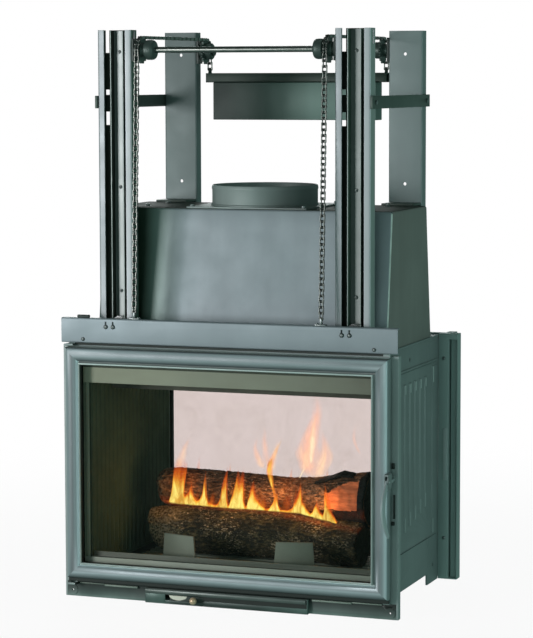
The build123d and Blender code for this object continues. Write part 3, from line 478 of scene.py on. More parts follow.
class Build:
    """Collects closed shapes given in the working frame."""

    def __init__(self):
        self.bm = bmesh.new()

    def add(self, other, index=0):
        me = bpy.data.meshes.new("tmp")
        for f in other.faces:
            f.material_index = index
        other.to_mesh(me)
        other.free()
        self.bm.from_mesh(me)
        bpy.data.meshes.remove(me)

    def box(self, x0, x1, y0, y1, z0, z1, r=0.6, seg=2, index=0, turn=None):
        b = bmesh.new()
        bmesh.ops.create_cube(b, size=1.0)
        c = P((x0 + x1) / 2, (y0 + y1) / 2, (z0 + z1) / 2)
        sx, sy, sz = (x1 - x0) * S, (y1 - y0) * S, (z1 - z0) * S
        for v in b.verts:
            v.co = Vector((v.co.x * sx, v.co.y * sy, v.co.z * sz))
        r = min(r, 0.45 * min(x1 - x0, y1 - y0, z1 - z0))
        if r > 0.02:
            bmesh.ops.bevel(b, geom=list(b.edges), offset=r * S, segments=seg, profile=0.5, affect="EDGES")
        m = Matrix.Translation(c)
        if turn is not None:
            m = m @ turn
        b.transform(m)
        self.add(b, index)
        return self

    def prism(self, pts, axis, a0, a1, r=0.0, seg=2, index=0):
        """Closed outline pushed along an axis. pts are the other two coordinates in X, Y, Z order."""
        b = bmesh.new()
        lo, hi = [], []
        for p, q in pts:
            if axis == "x":
                lo.append(b.verts.new(P(a0, p, q)))
                hi.append(b.verts.new(P(a1, p, q)))
            elif axis == "y":
                lo.append(b.verts.new(P(p, a0, q)))
                hi.append(b.verts.new(P(p, a1, q)))
            else:
                lo.append(b.verts.new(P(p, q, a0)))
                hi.append(b.verts.new(P(p, q, a1)))
        n = len(pts)
        b.faces.new(lo)
        b.faces.new(hi[::-1])
        for i in range(n):
            b.faces.new((lo[i], hi[i], hi[(i + 1) % n], lo[(i + 1) % n]))
        bmesh.ops.recalc_face_normals(b, faces=b.faces)
        if r > 0.02:
            ed = [e for e in b.edges if e.calc_face_angle(0) > math.radians(28)]
            bmesh.ops.bevel(b, geom=ed, offset=r * S, segments=seg, profile=0.5, affect="EDGES", clamp_overlap=True)
        self.add(b, index)
        return self

    def lathe(self, prof, axis, x, y, z, n=32, index=0):
        """prof is (distance along the axis, radius); closed at both ends."""
        b = bmesh.new()
        rings = []
        for a, r in prof:
            ring = []
            for i in range(n):
                t = 2 * math.pi * i / n
                c, s = r * math.cos(t), r * math.sin(t)
                if axis == "x":
                    ring.append(b.verts.new(P(x + a, y + c, z + s)))
                elif axis == "y":
                    ring.append(b.verts.new(P(x + c, y + a, z + s)))
                else:
                    ring.append(b.verts.new(P(x + c, y + s, z + a)))
            rings.append(ring)
        for p, q in zip(rings, rings[1:]):
            for i in range(n):
                b.faces.new((p[i], p[(i + 1) % n], q[(i + 1) % n], q[i]))
        b.faces.new(rings[0][::-1])
        b.faces.new(rings[-1])
        bmesh.ops.recalc_face_normals(b, faces=b.faces)
        self.add(b, index)
        return self

    def mirrored(self):
        """The same shapes again, mirrored to the other side."""
        geom = bmesh.ops.duplicate(self.bm, geom=list(self.bm.verts) + list(self.bm.edges) + list(self.bm.faces))["geom"]
        for v in [g for g in geom if isinstance(g, bmesh.types.BMVert)]:
            v.co.x = -v.co.x
        bmesh.ops.reverse_faces(self.bm, faces=[g for g in geom if isinstance(g, bmesh.types.BMFace)])
        return self

    def turned(self):
        self.bm.transform(Matrix.Rotation(math.pi, 4, "Z"))
        return self

    def make(self, name, mats, body, replaces=(), angle=32.0):
        return link(name, to_mesh(self.bm, name), mats, body, replaces, angle)


def fold(path, t, r, seg=4):
    """Outline of a bent sheet: path is its middle line, t its thickness, r the bend radius of the middle line."""
    pts = [Vector(p) for p in path]
    line = [(pts[0], (pts[1] - pts[0]).normalized())]
    for a, b, c in zip(pts, pts[1:], pts[2:]):
        d0, d1 = (b - a).normalized(), (c - b).normalized()
        turn = d0.angle_signed(d1)
        if abs(turn) < 1e-4:
            continue
        k = r * math.tan(abs(turn) / 2)
        start = b - d0 * k
        side = 1 if turn > 0 else -1      # angle_signed is clockwise-positive
        nrm = Vector((d0.y, -d0.x)) * side
        centre = start + nrm * r
        for i in range(seg + 1):
            ang = -turn * i / seg
            d = Vector((d0.x * math.cos(ang) - d0.y * math.sin(ang), d0.x * math.sin(ang) + d0.y * math.cos(ang)))
            n2 = Vector((d.y, -d.x)) * side
            line.append((centre - n2 * r, d))
    line.append((pts[-1], (pts[-1] - pts[-2]).normalized()))
    left = [(p.x - d.y * t / 2, p.y + d.x * t / 2) for p, d in line]
    right = [(p.x + d.y * t / 2, p.y - d.x * t / 2) for p, d in line]
    return left + right[::-1]


def cut(obj, boxes, cyls=()):
    """Takes boxes and round holes out of a piece."""
    c = Build()
    for b in boxes:
        c.box(*b, r=0)
    for (axis, r, a0, a1, x, y, z) in cyls:
        c.lathe([(a0, r), (a1, r)], axis, x, y, z, 28)
    me = to_mesh(c.bm, "cutter")
    co = bpy.data.objects.new("cutter", me)
    scene.collection.objects.link(co)
    md = obj.modifiers.new("cut", "BOOLEAN")
    md.operation, md.object, md.solver, md.use_self = "DIFFERENCE", co, "EXACT", True
    apply(obj)
    bpy.data.objects.remove(co)
    bpy.data.meshes.remove(me)


def apply(obj, angle=32.0):
    dg = bpy.context.evaluated_depsgraph_get()
    new = bpy.data.meshes.new_from_object(obj.evaluated_get(dg), preserve_all_data_layers=True, depsgraph=dg)
    old = obj.data
    obj.modifiers.clear()
    obj.data = new
    bpy.data.meshes.remove(old)
    new.shade_smooth()
    new.set_sharp_from_angle(angle=math.radians(angle))


def softened(node, mat, width=0.8, seg=2, name=None, angle=28.0, least=3.0, shift=None):
    """A copy of a CAD node with its sharp edges rounded; it replaces the node."""
    src = NODES[node]
    bm = bmesh.new()
    bm.from_mesh(src.data)
    if shift:
        for v in bm.verts:
            v.co.x = shift(v.co.x / S) * S
    bmesh.ops.remove_doubles(bm, verts=bm.verts, dist=1e-6)
    bmesh.ops.dissolve_limit(bm, angle_limit=math.radians(1.5), verts=bm.verts, edges=bm.edges, delimit={"NORMAL"})
    ed = [e for e in bm.edges if len(e.link_faces) == 2 and e.calc_face_angle(0) > math.radians(38) and e.calc_length() > least * S]
    bmesh.ops.bevel(bm, geom=ed, offset=width * S, segments=seg, profile=0.5, affect="EDGES", clamp_overlap=True)
    for f in bm.faces:
        f.material_index = 0
    me = to_mesh(bm, node)
    return link(name or node + "_v", me, mat, src["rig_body"], (node,), angle)


def split_at(o, *planes):
    """Cuts the faces of a piece along (axis, mm in the working frame), so that a tone can change there."""
    bm = bmesh.new()
    bm.from_mesh(o.data)
    for axis, at in planes:
        co = [0.0, MID, 0.0]
        co[axis] = at
        bmesh.ops.bisect_plane(bm, geom=list(bm.verts) + list(bm.edges) + list(bm.faces), plane_co=P(*co),
                               plane_no=Vector((axis == 0, axis == 1, axis == 2)))
    bm.to_mesh(o.data)
    bm.free()
    o.data.update()
    return o


def by_face(o, mats, pick):
    """Materials chosen face by face; pick gets the normal and the middle of the face in the working frame, mm."""
    o.data.materials.clear()
    for m in mats:
        o.data.materials.append(m)
    for p in o.data.polygons:
        c = p.center
        p.material_index = pick(p.normal, c.x / S, c.y / S + MID, c.z / S)
    return o


def give(node, mat):
    o = NODES[node]
    o.data.materials.clear()
    o.data.materials.append(mat)
    for p in o.data.polygons:
        p.material_index = 0


for n, m in {
    "front_plate": "plate_low", "rear_plate": "rear", "side_panels": "side", "pan_head_screws": "screw", "base_plenum": "dark",
    "hearth_floor": "floor", "side_linings": "lining", "glass_sills": "sill", "air_wash_strips": "strip", "smoke_baffle": "baffle",
    "top_plate": "side", "smoke_hood": "hood", "flue_collar": "dark", "hex_bolts": "screw", "front_rails": "rail",
    "roller_tracks": "track", "rear_posts": "post", "upright_braces": "arm", "sprocket_supports": "dark", "top_chains": "chain",
    "front_chains": "chain", "rear_chains": "chain", "frame_seal": "rope", "rear_door_jamb": "rear", "air_box": "plate_low",
    "andirons": "iron", "log_grate": "iron", "logs": "floor", "lift_shaft": "shaft", "front_sprockets": "sprocket",
    "rear_sprocket_left": "sprocket", "rear_sprocket_right": "sprocket", "counterweight_case": "weight", "weight_plates": "dark",
    "counterweight_beam": "weight_beam", "crossbeam": "plate", "carriage_frame": "side", "roller_brackets": "dark",
    "carriage_screws": "screw", "chain_anchors": "screw", "roller_left_lower": "roller", "roller_left_upper": "roller",
    "roller_right_lower": "roller", "roller_right_upper": "roller", "front_door_frame": "mould", "front_door_moulding": "mould",
    "front_door_glass": "glass", "front_door_seal": "rope", "front_door_glass_clips": "dark", "front_door_handle_bracket": "side",
    "front_door_handle": "mould", "rear_door_frame": "mould", "rear_door_moulding": "mould", "rear_door_glass": "glass_rear",
    "rear_door_seal": "rope", "rear_door_glass_clips": "dark", "rear_door_handle_bracket": "side", "rear_door_handle": "mould",
    "air_slide": "dark", "air_knob": "brass",
}.items():
    give(n, M[m])


# ---------------------------------------------------------------------
# Door moulding, mitred all round
# ---------------------------------------------------------------------
LEAF_X, MZ0, MZ1 = 393.5, 48.5, 592.0


def moulding_profile():
    """(distance in from the outer edge, Y, material of the run that starts there)"""
    p = [(0.0, -19.2, 0), (0.3, -22.5, 0)]
    for k in range(21):                      # broad half-round roll
        a = math.radians(168 - 7.9 * k)
        p.append((16.0 + 15.4 * math.cos(a), -24.3 - 9.0 * math.sin(a), 0))
    p += [(31.5, -25.0, 3), (32.2, -24.3, 3), (33.2, -24.2, 3), (34.0, -25.0, 3), (34.3, -28.5, 3)]     # dark groove
    for k in range(9):                       # inner bead
        a = math.radians(185 + 20 * k)
        p.append((36.7 + 2.3 * math.cos(a), -31.5 + 2.4 * math.sin(a), 1))
    # inner wall in matt black: painted shade
    p += [(39.0, -30.6, 2), (39.0, -19.2, 2)]
    return p


# painted light and shade across each run, from its outer edge inwards: lighter where roll and groove face the light,
# darker in the hollows and under the bottom run
RUN_PAINTED_SHADING = (
    ((0, 0.10), (1.1, 0.18), (4.2, 0.46), (6.9, 0.69), (9.4, 0.93), (11.8, 1.1), (14.2, 1.36), (16.5, 1.3), (18.8, 0.74), (21, 0.93), (25.4, 1.0), (27.4, 0.9), (29.4, 1.5), (31.5, 2.2), (34, 1.1), (39, 1.1)),
    ((0, 1.0), (1.4, 0.92), (3.1, 1.65), (5, 2.0), (7, 1.85), (9.1, 1.43), (11.5, 0.98), (13.5, 0.95), (15.8, 0.83), (18.2, 0.61), (20.5, 0.56), (23.1, 0.58), (25.8, 0.85), (28.7, 0.95), (31.5, 1.0), (34, 1.0), (36.5, 1.0), (39, 0.6)),
    ((0, 0.38), (1.2, 0.4), (3.2, 1.3), (5.4, 1.58), (7.5, 1.25), (9.8, 0.84), (12, 0.66), (14.3, 0.715), (16.6, 0.83), (18.9, 1.16), (21.3, 1.14), (23.6, 1.0), (26.1, 0.8), (28.6, 0.58), (31.5, 0.6), (34, 0.6), (35.0, 1.7), (36.6, 1.5), (39, 0.95)),
    ((0, 1.0), (2.5, 1.45), (5.5, 1.2), (8.5, 1.07), (11.5, 0.78), (14.1, 0.56), (16.5, 0.52), (19.2, 0.55), (21.5, 0.85), (23.8, 1.05), (25.9, 0.97), (27.9, 2.0), (29.7, 2.4), (31.5, 2.2), (34, 1.5), (36, 0.9), (39, 0.7)),
)


def painted_shading_at(table, d):
    for (a, p), (b, q) in zip(table, table[1:]):
        if d <= b:
            return p + (q - p) * max(0.0, (d - a) / (b - a))
    return table[-1][1]


def make_moulding(name, body, node, back):
    bm = bmesh.new()
    painted_shading = bm.loops.layers.float.new("painted_shading")
    prof = moulding_profile()
    rings = []
    for d, y, _ in prof:
        x, z0, z1 = LEAF_X - d, MZ0 + d, MZ1 - d
        rings.append([bm.verts.new(P(*c)) for c in ((-x, y, z0), (x, y, z0), (x, y, z1), (-x, y, z1))])
    n = len(rings)
    for i in range(n):
        a, b = rings[i], rings[(i + 1) % n]
        for k in range(4):
            f = bm.faces.new((a[k], a[(k + 1) % 4], b[(k + 1) % 4], b[k]))
            f.material_index = prof[i][2]
            for lp, row in zip(f.loops, (i, i, (i + 1) % n, (i + 1) % n)):
                lp[painted_shading] = 1.0 if back else painted_shading_at(RUN_PAINTED_SHADING[k], prof[row][0])
    bmesh.ops.recalc_face_normals(bm, faces=bm.faces)
    # short pieces along each run keep the shading even
    long_edges = [e for e in bm.edges if e.calc_length() > 0.3]
    bmesh.ops.subdivide_edges(bm, edges=long_edges, cuts=5, use_grid_fill=True)
    if back:
        bm.transform(Matrix.Rotation(math.pi, 4, "Z"))
    return link(name, to_mesh(bm, name), [M["mould_t"], M["bead_t"], M["black"], M["groove_t"] if not back else M["arm"]], body, (node,), 40.0)


make_moulding("moulding_front", "front_door", "front_door_moulding", False)
make_moulding("moulding_rear", "rear_door", "rear_door_moulding", True)

# ---------------------------------------------------------------------
# Sheet-metal pieces with their folds
# ---------------------------------------------------------------------
# cross beam over the door
b = Build()
b.prism(fold([(-1.6, 603.0), (-9.4, 603.0), (-9.4, 659.0), (5.8, 659.0)], 2.0, 2.4), "x", -410, 410)
o = b.make("crossbeam_sheet", M["beam"], "door_carriage", ("crossbeam",))
cut(o, [(x - 2.4, x + 1.4, -14, -6, 643, 653) for x in (-297, -279, 279, 297)],
    [("y", 3.2, -14 + 0, -6, x, 0, 641) for x in (-297, -279, 279, 297)])
b = Build()
b.box(-372, -342, -6, 4, 660, 667, 2.2, 3)
b.make("beam_tab", M["dark"], "door_carriage")

# uprights: lipped channels
def rail_piece(s, name):
    b = Build()
    x0, x1 = (247.0, 332.0) if s > 0 else (-332.0, -247.0)
    path = [(x0 + 16, 36.5), (x0 + 1.5, 36.5), (x0 + 1.5, 68.5), (x1 - 1.5, 68.5), (x1 - 1.5, 36.5), (x1 - 16, 36.5)]
    b.prism(fold(path, 3.0, 3.2, 5), "z", 597, 1325)
    b.box(x0 + 1, x1 - 1, 67.5, 77.5, 597, 601, 1.2)
    o = b.make(name, M["rail"], "root", ())
    sx = -326.0 if s < 0 else 253.0
    boxes = [(sx, sx + 10, 60, 76, z0, z1) for z0, z1 in ((1273, 1330), (1176, 1188), (1106, 1137))]
    for xx in ((-248 if s < 0 else 331), (-333 if s < 0 else 246)):
        boxes.append((xx - 3, xx + 4, 48, 58, 1290, 1322))
    cut(o, boxes)
    return o


# rails: inside faces near-black and the left rail's +X face dark (painted shade), the right lips in the lit paint
def rail_faces(s):
    def pick(n, x, y, z):
        inside = abs(x) < 330.5 and abs(x) > 248.5 and y > 37.5
        if n.y < -0.5 and not inside:
            return 4 if x > 300 or -300 < x < 0 else 0
        if inside:
            return 3
        if n.x > 0.3 and s < 0 and x > -252:
            return 2
        return 1
    return pick


rl = by_face(rail_piece(-1, "rail_left"), [M["rail"], M["rail_side"], M["rail_shaded"], M["painted_shade_deep_soft"], M["rail_lit"]], rail_faces(-1))
rr = by_face(rail_piece(1, "rail_right"), [M["rail"], M["rail_side"], M["rail_shaded"], M["painted_shade_deep"], M["rail_lit"]], rail_faces(1))
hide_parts("front_rails")

# rear posts: channels open to the back
for s, nm in ((-1, "post_left"), (1, "post_right")):
    b = Build()
    x0, x1 = (247.0, 332.0) if s > 0 else (-332.0, -247.0)
    b.prism(fold([(x0 + 1.5, 466), (x0 + 1.5, 439.5), (x1 - 1.5, 439.5), (x1 - 1.5, 466)], 3.0, 3.5, 5), "z", 597, 1325)
    b.box(x0 + 3, x1 - 3, 441, 466, 597, 601, 1.0)
    o = b.make(nm, M["post"] if s < 0 else M["post_lit"], "root", ())
    cut(o, [], [("y", 4.0, 430, 450, s * 288, 0, 1270), ("y", 4.0, 430, 450, s * 288, 0, 961)])
    if s < 0:
        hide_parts("rear_posts")

# arms and braces
b = Build()
b.box(332, 338, 31, 478, 1145, 1174, 0.9)
b.prism([(372, 912), (438, 912), (438, 917), (434, 917), (372, 917)], "x", 250, 329, 0.8)
b.box(250, 329, 434, 438, 898, 913, 0.8)
b.mirrored()
b.make("arms_braces", M["arm"], "root", ("upright_braces",))

# track: near-black band on the web where the flange's shadow falls, lit paint on the rest (darker on the right rail),
# dark +X faces: painted light and shade
def track_face(n, x, y, z):
    if n.y < -0.9 and y > 60 and abs(abs(x) - 289) < 14.5:
        if x < 0:
            return 5 if x < -294.5 else 1
        return 5 if x < 286.5 else 4
    if n.y < -0.5 and y < 50:
        return 2
    return 3 if n.x > 0.5 and x > 0 else 0


by_face(split_at(softened("roller_tracks", M["track"], 0.5), (0, -294.5), (0, 286.5)),
        [M["painted_shade_deep"], M["web"], M["rail_side"], M["rail_shaded"], M["web_shaded_right"], M["web_shadow_band"]], track_face)
softened("counterweight_case", M["weight"], 1.6, 3)
softened("counterweight_beam", M["weight_beam"], 0.9, 2)
softened("side_panels", M["side"], 1.0, 2)
softened("rear_plate", M["rear"], 1.0, 2)
# front plate: near-black margin behind the moulding's rim (painted shade), lighter paints in the rebate and beside the
# moulding (painted light), and the foot shaded towards the ledge
def plate_face(n, x, y, z):
    if abs(x) > 405:
        return 1
    if n.y < -0.5 and y < 1.5:
        if z < 36:
            return 4
        if abs(x) > 366:
            return 3
        if 66 < z < 556:
            return 5 if 357.4 < abs(x) < 360.2 else 6 if abs(x) < 357.4 else 2
        return 0
    return 5 if y < 4 and abs(x) < 354 and abs(n.x) > 0.5 else 0


by_face(split_at(softened("front_plate", M["plate_low"], 1.0, 2), *[(0, s * v) for s in (-1, 1) for v in (405, 366, 360.2, 357.4)], (2, 36), (2, 66), (2, 556)),
        [M["plate_low"], M["plate_edge"], M["black"], M["plate_painted_lit"], M["plate_shaded_foot"], M["rebate"], M["rebate_mid"]], plate_face)
# carriage frame: near-black in the gap under the cross beam and along the bottom (painted shade), the lighter front
# paint on its top and outer edges (painted light)
by_face(split_at(softened("carriage_frame", M["side"], 0.8, 2), (2, 41), (2, 597), (0, -376), (0, 376)), [M["side"], M["frame_dark"], M["plate_painted_lit"]],
        lambda n, x, y, z: 1 if (z > 597 and y < -3 and abs(x) < 376) or (z < 41 and abs(x) < 376) else 2 if z > 592 or abs(x) > 390 or z < 41 else 0)
# door frame: near-black below the moulding and at the front of the top gap (painted shade), lighter on its top (painted
# highlight)
by_face(split_at(softened("front_door_frame", M["mould"], 0.4, 1), (2, 49.2), (2, 592.3), (0, -393.2), (0, 393.2)), [M["mould"], M["frame_dark"], M["frame_top_highlight"], M["frame_side"]],
        lambda n, x, y, z: 1 if z < 49.2 or (z > 592.3 and y < -18) else 2 if z > 592.3 else 3 if abs(x) > 393.2 else 0)
by_face(split_at(softened("air_wash_strips", M["strip"], 0.4, 1), (2, 544.4)), [M["strip"], M["strip_dark"]], lambda n, x, y, z: 1 if z > 544.4 else 0)
# light strips at the inner edges of the linings, lighter because they lie in shadow: painted light
b = Build()
b.box(-352.6, -347.9, 4.0, 6.0, 66, 507, 0.5)
b.mirrored()
b.make("lining_edge_strips", M["rebate"], "root")
# ledge strips under the moving frame
b = Build()
b.box(-372, -309, -4.0, -0.6, 31.6, 35.0, 0.8)
b.make("ledge_long", M["ledge"], "root")
b = Build()
b.prism([(-6.6, 30.0), (-6.6, 33.0), (-5.4, 34.4), (-0.6, 34.4), (-0.6, 29.4), (-5.8, 29.4)], "x", -308, -224, 0.5)
b.make("ledge_short", M["ledge_light"], "root")
b = Build()
b.prism([(-5.8, 30.6), (-5.8, 33.4), (-4.8, 34.6), (-0.6, 34.6), (-0.6, 29.8), (-4.8, 29.8)], "x", 206, 300, 0.5)
b.box(300, 372, -4.0, -0.6, 32.0, 35.2, 0.8)
b.make("ledge_right", M["ledge_light"], "root")
softened("rear_door_jamb", M["rear"], 0.8, 2)
softened("andirons", M["iron"], 0.9, 2)
softened("log_grate", M["iron"], 1.2, 2)
# rib sides of the linings in a darker copy of the lining paint: painted shade
by_face(softened("side_linings", M["lining"], 0.35, 1, shift=lambda x: math.copysign(346.7 if 343.4 < abs(x) < 344.6 else 347.9 if 348.4 < abs(x) < 349.6 else abs(x), x)),
        [M["lining"], M["lining_shaded_side"]], lambda n, x, y, z: 1 if abs(n.y) > 0.35 else 0)
# sills: lighter lower band, the middle band dark as painted shade on the lip's face, the lip's top lighter as a painted
# highlight
by_face(softened("glass_sills", M["sill"], 0.5, 2, least=1.0), [M["sill"], M["sill_light"], M["sill_lip_highlight"]],
        lambda n, x, y, z: 1 if z < 97.6 and (y < 0.2 or y > 2 * MID - 0.2) else 2 if z > 101.5 else 0)


# smoke hood with rounded folds
def rrect(x, y0, y1, r, n=6):
    pts = []
    for cx, cy, a0 in ((x - r, y1 - r, 0), (-x + r, y1 - r, 90), (-x + r, y0 + r, 180), (x - r, y0 + r, 270)):
        for i in range(n + 1):
            a = math.radians(a0 + 90 * i / n)
            pts.append((cx + r * math.cos(a), cy + r * math.sin(a)))
    return pts


def make_hood():
    bm = bmesh.new()

    def at(t, inset, z, r):
        y0, y1 = 79 + (117 - 79) * t + inset, 428.5 + (390.5 - 428.5) * t - inset
        return [bm.verts.new(P(px, py, z)) for px, py in rrect(358 - inset, y0, y1, max(1.0, r))]

    rings = [at(0, 0, 597.2, 7), at(0, 0, 600, 7)]
    for k in range(1, 8):
        t = k / 8
        rings.append(at(t, 0, 597 + 308 * t, 7))
    rings.append(at(0.975, 0, 907.0, 7))
    for k in range(1, 6):
        a = math.radians(90 * k / 5)
        rings.append(at(0.985, 5 * (1 - math.cos(a)), 907 + 5 * math.sin(a), 7))
    inner = [at(0, 3, 597.2, 5), at(0.5, 3, 753, 5), at(1.0, 3, 908.5, 5)]
    for p, q in zip(rings, rings[1:]):
        n = len(p)
        for i in range(n):
            bm.faces.new((p[i], p[(i + 1) % n], q[(i + 1) % n], q[i]))
    for p, q in zip(inner, inner[1:]):
        n = len(p)
        for i in range(n):
            bm.faces.new((p[i], p[(i + 1) % n], q[(i + 1) % n], q[i]))
    n = len(rings[0])
    for i in range(n):
        bm.faces.new((rings[0][i], rings[0][(i + 1) % n], inner[0][(i + 1) % n], inner[0][i]))
    for ring, z in ((rings[-1], 912.0), (inner[-1], 908.5)):
        hole = [bm.verts.new(P(122 * math.cos(2 * math.pi * i / 64), 253.75 + 122 * math.sin(2 * math.pi * i / 64), z)) for i in range(64)]
        ed = [bm.edges.new((hole[i], hole[(i + 1) % 64])) for i in range(64)]
        ed += [bm.edges.get((ring[i], ring[(i + 1) % n])) for i in range(n)]
        bmesh.ops.triangle_fill(bm, edges=ed, use_beauty=True, use_dissolve=False)
        if z == 912.0:
            top_hole = hole
        else:
            for i in range(64):
                bm.faces.new((top_hole[i], top_hole[(i + 1) % 64], hole[(i + 1) % 64], hole[i]))
    bmesh.ops.recalc_face_normals(bm, faces=bm.faces)
    o = link("hood_shell", to_mesh(bm, "hood_shell"), M["hood"], "root", ("smoke_hood",), 30.0)
    # top faces near-black and +X faces darker (painted shade), the rounded front-right fold lighter (painted highlight)
    return by_face(o, [M["hood"], M["hood_shaded_top"], M["hood_fold_highlight"], M["hood_shaded_side"]],
                   lambda n, x, y, z: 1 if n.z > 0.8 and z > 900 else 2 if n.x > 0.6 and n.y < -0.6 and z < 905 and x > 354 else 3 if n.x > 0.7 else 0)


make_hood()

# flue collar: rolled tube with a beaded rim on a flat flange
b = Build()
prof = [(916.0, 127.5), (918.5, 127.5), (919.6, 126.2), (920.4, 125.0), (952, 125.0), (954, 125.6), (957, 126.2), (960, 125.6), (962.0, 125.0),
        (963.4, 124.6), (964.0, 123.6), (963.4, 122.4), (962, 122.0), (912.2, 122.0)]
bm = bmesh.new()
N = 96
rings = []
for z, r in prof:
    rings.append([bm.verts.new(P(r * math.cos(2 * math.pi * i / N), MID + r * math.sin(2 * math.pi * i / N), z)) for i in range(N)])
for p, q in zip(rings, rings[1:]):
    for i in range(N):
        bm.faces.new((p[i], p[(i + 1) % N], q[(i + 1) % N], q[i]))
sq = [bm.verts.new(P(x, y, 916.0)) for x, y in ((-148, 122.75), (148, 122.75), (148, 384.75), (-148, 384.75))]
sb = [bm.verts.new(P(x, y, 912.2)) for x, y in ((-148, 122.75), (148, 122.75), (148, 384.75), (-148, 384.75))]
ed = [bm.edges.new((sq[i], sq[(i + 1) % 4])) for i in range(4)] + [bm.edges.get((rings[0][i], rings[0][(i + 1) % N])) for i in range(N)]
bmesh.ops.triangle_fill(bm, edges=ed, use_beauty=True)
ed = [bm.edges.new((sb[i], sb[(i + 1) % 4])) for i in range(4)] + [bm.edges.get((rings[-1][i], rings[-1][(i + 1) % N])) for i in range(N)]
bmesh.ops.triangle_fill(bm, edges=ed, use_beauty=True)
for i in range(4):
    bm.faces.new((sq[i], sq[(i + 1) % 4], sb[(i + 1) % 4], sb[i]))
bmesh.ops.recalc_face_normals(bm, faces=bm.faces)
link("collar_shell", to_mesh(bm, "collar_shell"), M["collar"], "root", ("flue_collar",), 30.0)

# ---------------------------------------------------------------------
# Chains: inner and outer links, rollers and pins along the real path
# ---------------------------------------------------------------------
PITCH = 12.7
PR = PITCH / 2 / math.sin(math.pi / 14)
FY, FZ, RY, RZ, CX = 52.0, 1279.0, 452.0, 1279.0, 228.0


def link_plate(b, x0, x1, p, q, h, index):
    """One chain plate between the pins p and q, both (y, z): a waisted bar with round ends."""
    p, q = Vector(p), Vector(q)
    d = (q - p).normalized()
    n = Vector((-d.y, d.x))
    pts = []
    for c, s in ((q, 1), (p, -1)):
        for i in range(7):
            a = math.radians(-90 + 180 * i / 6)
            pts.append(c + d * (s * h * math.cos(a)) + n * (s * h * math.sin(a)))
        if s == 1:
            pts.append((p + q) / 2 + n * (h * 0.72))
        else:
            pts.append((p + q) / 2 - n * (h * 0.72))
    b.prism([(v.x, v.y) for v in pts], "x", x0, x1, 0.0, index=index)


def chain_links(b, pins, first=0):
    for i in range(len(pins) - 1):
        p, q = pins[i], pins[i + 1]
        if (i + first) % 2:
            link_plate(b, CX - 5.5, CX - 4.3, p, q, 3.9, 0)
            link_plate(b, CX + 4.3, CX + 5.5, p, q, 3.9, 0)
        else:
            link_plate(b, CX - 4.1, CX - 2.9, p, q, 3.9, 0)
            link_plate(b, CX + 2.9, CX + 4.1, p, q, 3.9, 0)
    for y, z in pins:
        b.lathe([(-5.6, 1.2), (-5.5, 1.7), (5.5, 1.7), (5.6, 1.2)], "x", CX, y, z, 8, 0)
        b.lathe([(-2.8, 3.3), (2.8, 3.3)], "x", CX, y, z, 12, 1)


def pins_along(length, at):
    n = int(round(length / PITCH))
    step = length / n
    return [at(i * step) for i in range(n + 1)]


F0, F1 = Vector((-3.0, 676.0)), Vector((FY - PR, FZ - 1.0))
frun = (F1 - F0).length


def on_front(s):
    v = F0 + (F1 - F0) * (s / frun)
    return (v.x, v.y)


top_len = PR * math.pi / 2 * 2 + (RY - FY)


def on_top(s):
    q = PR * math.pi / 2
    if s < q:
        a = math.pi - s / PR
        return (FY + PR * math.cos(a), FZ + PR * math.sin(a))
    if s < q + RY - FY:
        return (FY + s - q, FZ + PR)
    a = math.pi / 2 - (s - q - (RY - FY)) / PR
    return (RY + PR * math.cos(a), RZ + PR * math.sin(a))


for nm, node, pins, first in (("chain_front", "front_chains", pins_along(frun, on_front), 0),
                              ("chain_top", "top_chains", pins_along(top_len, on_top), 0),
                              ("chain_rear", "rear_chains", pins_along(1278.0 - 1236.0, lambda s: (RY + PR, 1278.0 - s)), 1)):
    b = Build()
    chain_links(b, pins, first)
    b.mirrored()
    if nm == "chain_rear":
        o = to_mesh(b.bm, nm)
        for m in (M["chain"], M["chain_dark"]):
            o.materials.append(m)
        o.shade_smooth()
        o.set_sharp_from_angle(angle=math.radians(32))
        ob = bpy.data.objects.new(nm, o)
        scene.collection.objects.link(ob)
        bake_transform(ob)
        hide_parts(node)
    else:
        ob = b.make(nm, [M["chain"], M["chain_dark"]], "root", (node,))
        if nm == "chain_front":
            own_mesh(ob)

# chain ends: clips on the cross beam
b = Build()
b.box(214, 240, -8, 4, 660, 663, 0.8)
b.box(225.2, 230.8, -6.5, 0.5, 663, 677, 1.2)
b.lathe([(663, 3.4), (664.5, 3.4), (665.6, 2.6), (665.9, 0.6)], "z", 218, -2, 0, 16)
b.lathe([(-4.8, 1.9), (4.8, 1.9)], "x", 228, -3, 674.5, 12)
b.mirrored()
b.make("chain_clips", M["screw"], "door_carriage", ("chain_anchors",))


# ---------------------------------------------------------------------
# Sprockets, shaft, bearings
# ---------------------------------------------------------------------
def sprocket_outline(y, z, teeth=14):
    pts = []
    for k in range(teeth):
        a0 = 360.0 / teeth * k
        for da, r in ((-12.8, PR - 2.6), (-9.3, PR - 2.1), (-6.7, PR - 0.2), (-4.4, PR + 2.0), (-2.1, PR + 3.2), (2.1, PR + 3.2), (4.4, PR + 2.0), (6.7, PR - 0.2), (9.3, PR - 2.1)):
            a = math.radians(a0 + da)
            pts.append((y + r * math.cos(a), z + r * math.sin(a)))
    return pts


